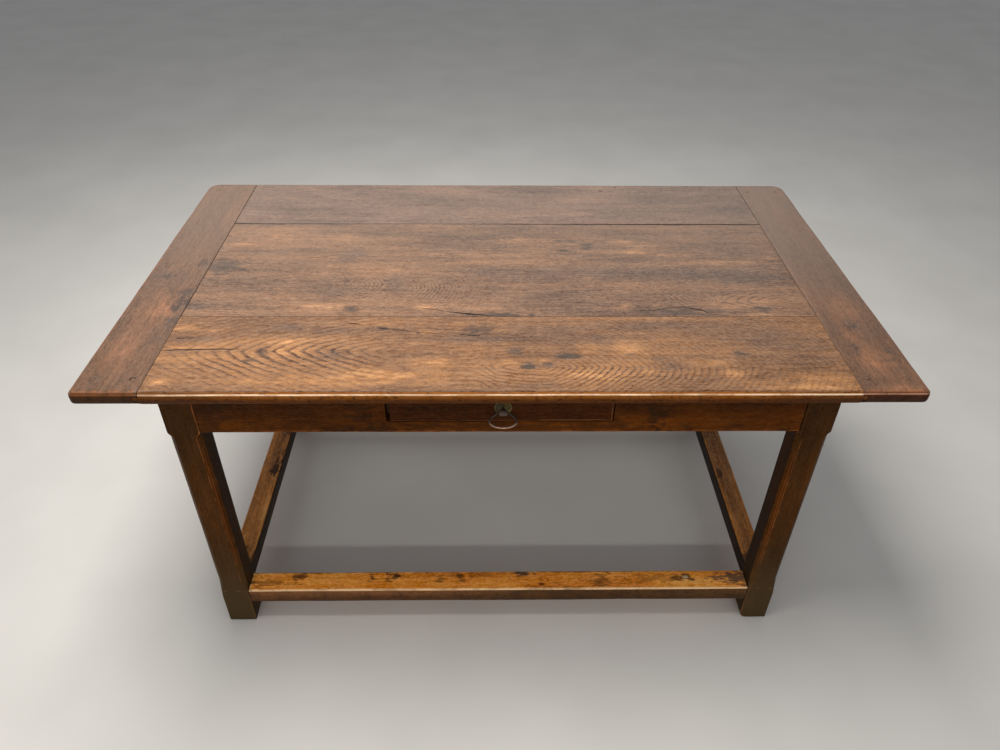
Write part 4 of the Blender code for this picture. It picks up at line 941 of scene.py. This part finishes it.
def build_frame():
    """Legs, aprons and stretchers."""
    leg_tones = ((0, 20, 11, 4), (0.28, 47, 29, 10), (0.52, 75, 45, 15),
                 (0.78, 114, 65, 22), (1, 166, 98, 42))
    apron_tones = ((0, 22, 10, 1), (0.28, 49, 25, 3), (0.52, 79, 41, 5),
                   (0.78, 117, 62, 10), (1, 168, 98, 32))
    front_rail_tones = ((0, 44, 28, 16), (0.25, 130, 76, 27), (0.5, 232, 141, 50),
                        (0.75, 255, 174, 80), (1, 255, 212, 138))
    side_rail_tones = ((0, 42, 27, 17), (0.28, 86, 55, 34), (0.52, 139, 95, 57),
                       (0.76, 191, 126, 66), (1, 226, 164, 96))
    # Lines scribed above the feet, the joint of a leg with the apron, dark with dirt and painted
    # shade, and the chamfers' edges
    marks = [((x, -0.377, 0.1092), (x + 0.0085, -0.3745, 0.1106), (150, 118, 82), 0.9)
             for x in (-0.6372, -0.607, 0.5988, 0.6283)]
    marks += [((side * 0.5866 - 0.0009, -0.3745, 0.16), (side * 0.5866 + 0.0009, -0.366, 0.57),
               (150, 72, 28), 0.5) for side in (-1, 1)]
    marks += [((-0.594, -0.3775, 0.59), (-0.578, -0.372, 0.735), (62, 38, 18), 0.6)]
    # The legs darken towards the top, painted shade under the top, and their inner faces are
    # painted nearly black as shade
    legs = oak("oak_legs", "Z", leg_tones, ring=0.012, figure=0.25, cloudiness=0.38, fibre=0.3,
               foot=((79, 65, 42), 0.32, 0.75), keen=4, painted_shade=(2, 0.42, 0.68, -0.1),
               painted_inner_shade=(0.58, 0.5), marks=marks, rim=((204, 120, 62), 0.8))
    # The aprons darken towards the top: painted shade under the top's overhang
    apron = dict(figure=0.35, cloudiness=0.46, fibre=0.3, shift=0.6, level=0.56,
                 painted_shade=(2, 0.612, 0.7, -0.215), rim=((150, 84, 38), 0.3))
    apron_stains = [
        ((x, APRON_FACE_Y, z), (long, 0.02, high), (40, 27, 14), share)
        for x, z, long, high, share in (
            (0.303, 0.645, 0.024, 0.03, 0.65), (-0.275, 0.66, 0.018, 0.05, 0.45),
            (-0.25, 0.625, 0.012, 0.02, 0.4), (0.44, 0.69, 0.12, 0.016, 0.4),
            (-0.562, 0.665, 0.045, 0.085, 0.45), (0.01, 0.612, 0.33, 0.02, 0.32))]
    long_aprons = oak("oak_aprons", "X", apron_tones, stains=apron_stains, **apron)
    end_aprons = oak("oak_end_aprons", "Y", apron_tones, **apron)
    # The front stretcher's front arris: rubbed wood with a painted highlight, the gleam
    rail_front = dict(reach=(-0.3712, -0.373), wood=(124, 82, 52), under=(76, 50, 33),
                      turn=(0.078, 0.106, 0.03), ends=(-0.25, 0.15, (56, 43, 29), 0.8, False),
                      cover=1.0, thin=0.94, speck=(46, 27, 16), line=(0.1082, 0.2),
                      gleam=(255, 208, 152), rubbed=0.95, polish=0.9)
    knocks_and_shadows = stains_at((
        (270, 583, 60, 8, (84, 52, 28), 5), (300, 576, 20, 10, (46, 36, 26), 7.5),
        (372, 578, 12, 7, (60, 38, 24), 8), (394, 577, 12, 13, (48, 36, 27), 9),
        (441, 579, 9, 9, (100, 56, 26), 6), (460, 578, 10, 10, (64, 40, 22), 7.5),
        (420, 571, 50, 5, (70, 46, 28), 5), (524, 572, 24, 8, (70, 62, 54), 9),
        (541, 584, 6, 5, (96, 32, 14), 8), (600, 579, 26, 15, (104, 62, 28), 6),
        (655, 578, 60, 12, (120, 76, 36), 4), (685, 577, 20, 9, (62, 42, 28), 7.5),
        (685, 577, 5, 3, (214, 190, 156), 8), (738, 577, 55, 16, (80, 66, 64), 8.5),
        # The next rows hold painted shade: the dark patch at the rail's left end, partly the gap at
        # the leg, and two long thin streaks along the back arris
        (239, 580, 24, 40, (60, 52, 42), 8.5), (320, 572, 160, 4, (74, 46, 24), 6),
        (600, 571, 200, 3, (84, 50, 24), 6)), height=RAIL_TOP, deep=0.012)
    front_rail = oak(
        "oak_front_stretcher", "X", front_rail_tones, ring=0.009, figure=0.6, fibre=3.6,
        cloudiness=1.0, shift=0.2, shine=0.06, level=0.52, peppered=0.03,
        rim=((214, 178, 128), 0.5), front=rail_front, stains=knocks_and_shadows)
    rear_rail = oak(
        "oak_rear_stretcher", "X", side_rail_tones, ring=0.009, figure=0.4, fibre=1.4,
        cloudiness=0.7, shift=0.4, rim=((200, 136, 72), 0.5), shine=0.08)
    gouges = [((x, y, RAIL_TOP), radii, tint, share) for x, y, radii, tint, share in (
        (-0.603, 0.035, (0.01, 0.06, 0.02), (38, 28, 22), 0.9),
        (-0.601, 0.18, (0.01, 0.02, 0.02), (38, 26, 20), 0.8),
        (0.602, 0.005, (0.008, 0.016, 0.02), (50, 33, 23), 0.7),
        (-0.612, -0.3, (0.04, 0.05, 0.03), (60, 50, 40), 0.7),
        (0.612, -0.305, (0.04, 0.04, 0.03), (52, 40, 32), 0.7))]
    finishes = {"apron_front": long_aprons, "apron_rear": long_aprons,
                "apron_left": end_aprons, "apron_right": end_aprons,
                "stretcher_front": front_rail, "stretcher_rear": rear_rail}
    # The side stretchers darken towards the back, painted shade under the table, and their inner
    # faces are painted nearly black as shade
    for side, level, fall in ("left", 0.8, -0.18), ("right", 0.68, -0.25):
        finishes["stretcher_" + side] = oak(
            "oak_stretcher_" + side, "Y", side_rail_tones, ring=0.009, figure=0.4, fibre=2.0,
            cloudiness=0.78, shift=0.5, level=level, shine=0.08, painted_shade=(1, -0.27, 0.14, fall),
            rim=((206, 132, 60), 0.45), painted_inner_shade=(0.5915, 0.96), stains=gouges)
    for node in sorted(frame["nodes"]):
        kind = node.split("_")[0]
        if kind not in FRAME_WEAR:
            continue
        cell, depth, size, slot, exposed = FRAME_WEAR[kind]
        if not node.endswith(("front", "rear")):
            cell, size = [(across, along, high) for along, across, high in (cell, size)]
        mesh = merged_copy(node)
        ease_edges(mesh, 0.0012, 0.01)
        slice_up(mesh, cell)
        mark_wear(mesh, exposed)
        if kind == "leg":
            mesh.normal_update()
            mark_chamfers(mesh)
        weather(mesh, node, depth, size, len(node) + ord(node[-2]) % 7)
        finished(mesh, node + "_worn", node, slot, finishes.get(node, legs))


# The drawer and everything inside

def build_drawer():
    """The drawer's show front, and its dry inner wood."""
    front_tones = ((0, 20, 9, 1), (0.28, 45, 22, 5), (0.52, 68, 34, 8),
                   (0.78, 100, 52, 13), (1, 156, 90, 34))
    dry_tones = ((0, 58, 44, 33), (0.3, 98, 76, 56), (0.55, 128, 100, 74),
                 (0.8, 152, 122, 92), (1, 178, 148, 114))
    face = oak("oak_drawer_front", "X", front_tones, ring=0.009, figure=0.35, fibre=0.3,
               cloudiness=0.46, shift=1.7, rim=((132, 82, 46), 0.5), keen=3,
               # The front darkens towards the top: painted shade under the top's overhang
               painted_shade=(2, 0.63, 0.695, -0.12),
               # The light line along the lower right of the front is a painted highlight on its
               # lower edge
               marks=[((0.06, -0.38, 0.6304), (0.2125, -0.376, 0.6324), (138, 88, 48), 0.7)])
    dry = {axis: oak("dry_oak_" + axis.lower(), axis, dry_tones, figure=0.35, shift=0.9,
                     shine=0.1, dull=0.68) for axis in "XY"}
    mesh = merged_copy("drawer_front")
    ease_edges(mesh, 0.0008, 0.01)
    forward = Vector((0, -1, 0))
    # The second, dark line along the lower right half of the drawer front
    groove = [Vector((x, DRAWER_FACE_Y, 0.6334 + 0.004 * (x - 0.07)))
              for x in (0.072, 0.1, 0.15, 0.2)]
    mesh = cut_splits(mesh, "drawer_front", [split_cutter(
        finer_path(groove, forward, stray=0.0004), 0.0022, 0.0014, forward)])
    slice_up(mesh, (0.007, 0.007, 0.007))
    # The light lines along the lower edge and the right edge are wear with a painted highlight
    mark_wear(mesh, lambda vertex: low_arris(vertex) or vertex.co.x > 0.208)
    weather(mesh, "drawer_front", 0.0005, (0.12, 0.03, 0.03), 2.5)
    finished(mesh, "drawer_front_worn", "drawer_front", "frame_oak", face, split_dirt_and_shade())
    grain = {"drawer_back": "X", "drawer_bottom": "X", "drawer_side": "Y", "drawer_guide": "Y",
             "drawer_runner": "Y", "drawer_kicker": "Y", "drawer_stop": "X", "top_button": "Y"}
    for node in sorted(frame["nodes"]):
        for start, axis in grain.items():
            if node.startswith(start) and "nail" not in node:
                mesh = merged_copy(node)
                ease_edges(mesh, 0.0006, 0.005)
                finished(mesh, node + "_worn", node, "inner_oak", dry[axis])


# The pull

def turned(profile, place, turn, segments):
    """A shape spun about its own Z from (radius, height) pairs, then turned into place."""
    mesh = bmesh.new()
    points = [mesh.verts.new((radius, 0, height)) for radius, height in profile]
    line = [mesh.edges.new(pair) for pair in zip(points, points[1:])]
    bmesh.ops.spin(mesh, geom=points + line, axis=(0, 0, 1), cent=(0, 0, 0),
                   angle=2 * pi, steps=segments, use_merge=True)
    bmesh.ops.remove_doubles(mesh, verts=mesh.verts, dist=1e-6)
    bmesh.ops.recalc_face_normals(mesh, faces=mesh.faces)
    bmesh.ops.transform(mesh, matrix=Matrix.Translation(place) @ turn, verts=mesh.verts)
    return mesh


def build_pull():
    """The rose, the knuckle that is riveted through it and the ring that hangs in the knuckle."""
    brass, iron = aged_brass(), worn_iron()
    outward = Matrix.Rotation(pi / 2, 4, "X")
    plate = ((0.0034, 0.0004), (0.0166, 0.0004), (0.0168, 0.0008), (0.0166, 0.0015),
             (0.0157, 0.002), (0.0147, 0.0019), (0.014, 0.0017), (0.013, 0.0019),
             (0.0105, 0.0026), (0.008, 0.003), (0.006, 0.0034), (0.0034, 0.0034),
             (0.0034, 0.0004))
    rose = turned(plate, Vector((PULL_X, DRAWER_FACE_Y, PULL_Z)), outward, 64)
    mark_wear(rose)
    finished(rose, "rose_turned", "pull_rose", "brass", brass)
    knuckle = merged_copy("pull_knuckle")
    ease_edges(knuckle, 0.0004, 0.001)
    mark_wear(knuckle)
    bmesh.ops.subdivide_edges(knuckle, edges=knuckle.edges, cuts=1, use_grid_fill=True)
    finished(knuckle, "knuckle_forged", "pull_knuckle", "iron", iron)
    ring = bmesh.new()
    ring.from_mesh(frame["nodes"]["pull_ring"].data)
    bmesh.ops.remove_doubles(ring, verts=ring.verts, dist=1e-6)
    finished(ring, "ring_forged", "pull_ring", "iron", iron)
    for node, piece in frame["nodes"].items():
        if node.startswith(("button_screw", "drawer_bottom_nail", "pull_nut")):
            for place in piece.material_slots:
                place.material = iron


# The studio

def build_studio():
    """A pale floor, soft lights and the photograph's camera."""
    f = Finish("pale_floor")
    faint = f.clouds(f.places(), (3, 3, 1), 2)
    pale = f.ramp(faint, [(0.3, 204, 202, 197), (0.7, 211, 209, 204)])
    plain = f.close(Base_Color=pale, Roughness=0.75)
    sheet = bmesh.new()
    bmesh.ops.create_grid(sheet, x_segments=1, y_segments=1, size=14)
    data = bpy.data.meshes.new("floor")
    sheet.to_mesh(data)
    sheet.free()
    data.materials.append(plain)
    floor = placed("floor", data)

    world = bpy.data.worlds.new("studio")
    world.use_nodes = True
    backing = world.node_tree.nodes["Background"]
    backing.inputs["Color"].default_value = (0.93, 0.95, 1.0, 1)
    backing.inputs["Strength"].default_value = 0.3
    bpy.context.scene.world = world
    for name, place, aim, size, power in (
            ("overhead", (-0.5, 0.0, 2.7), (-0.1, 0, 0.4), (1.8, 1.2), 77),
            ("back_panel", (-0.2, 2.0, 1.9), (0, 0, 0.7), (3.6, 1.4), 9),
            ("low_front_strip", (-0.1, -2.65, 1.6), (0, -0.4, 0.7), (2.8, 0.09), 18)):
        light = bpy.data.lights.new(name, "AREA")
        light.shape, light.size, light.size_y = "RECTANGLE", *size
        light.energy = power
        light.color = (1.0, 0.965, 0.92)
        lamp = placed(name, light)
        lamp.location = place
        lamp.rotation_euler = (Vector(aim) - Vector(place)).to_track_quat("-Z", "Y").to_euler()

    right, up, forward = camera_axes()
    lens = bpy.data.cameras.new("photo_camera")
    lens.sensor_width = SENSOR_WIDTH
    lens.lens = SENSOR_WIDTH * FOCAL_PIXELS / PHOTO_WIDTH
    camera = placed("photo_camera", lens)
    camera.matrix_world = Matrix.Translation(CAMERA_PLACE) @ Matrix(
        (right, up, -forward)).transposed().to_4x4()
    bpy.context.scene.camera = camera
    bpy.context.scene.view_settings.view_transform = "Standard"


build_top()
build_frame()
build_drawer()
build_pull()
build_studio()
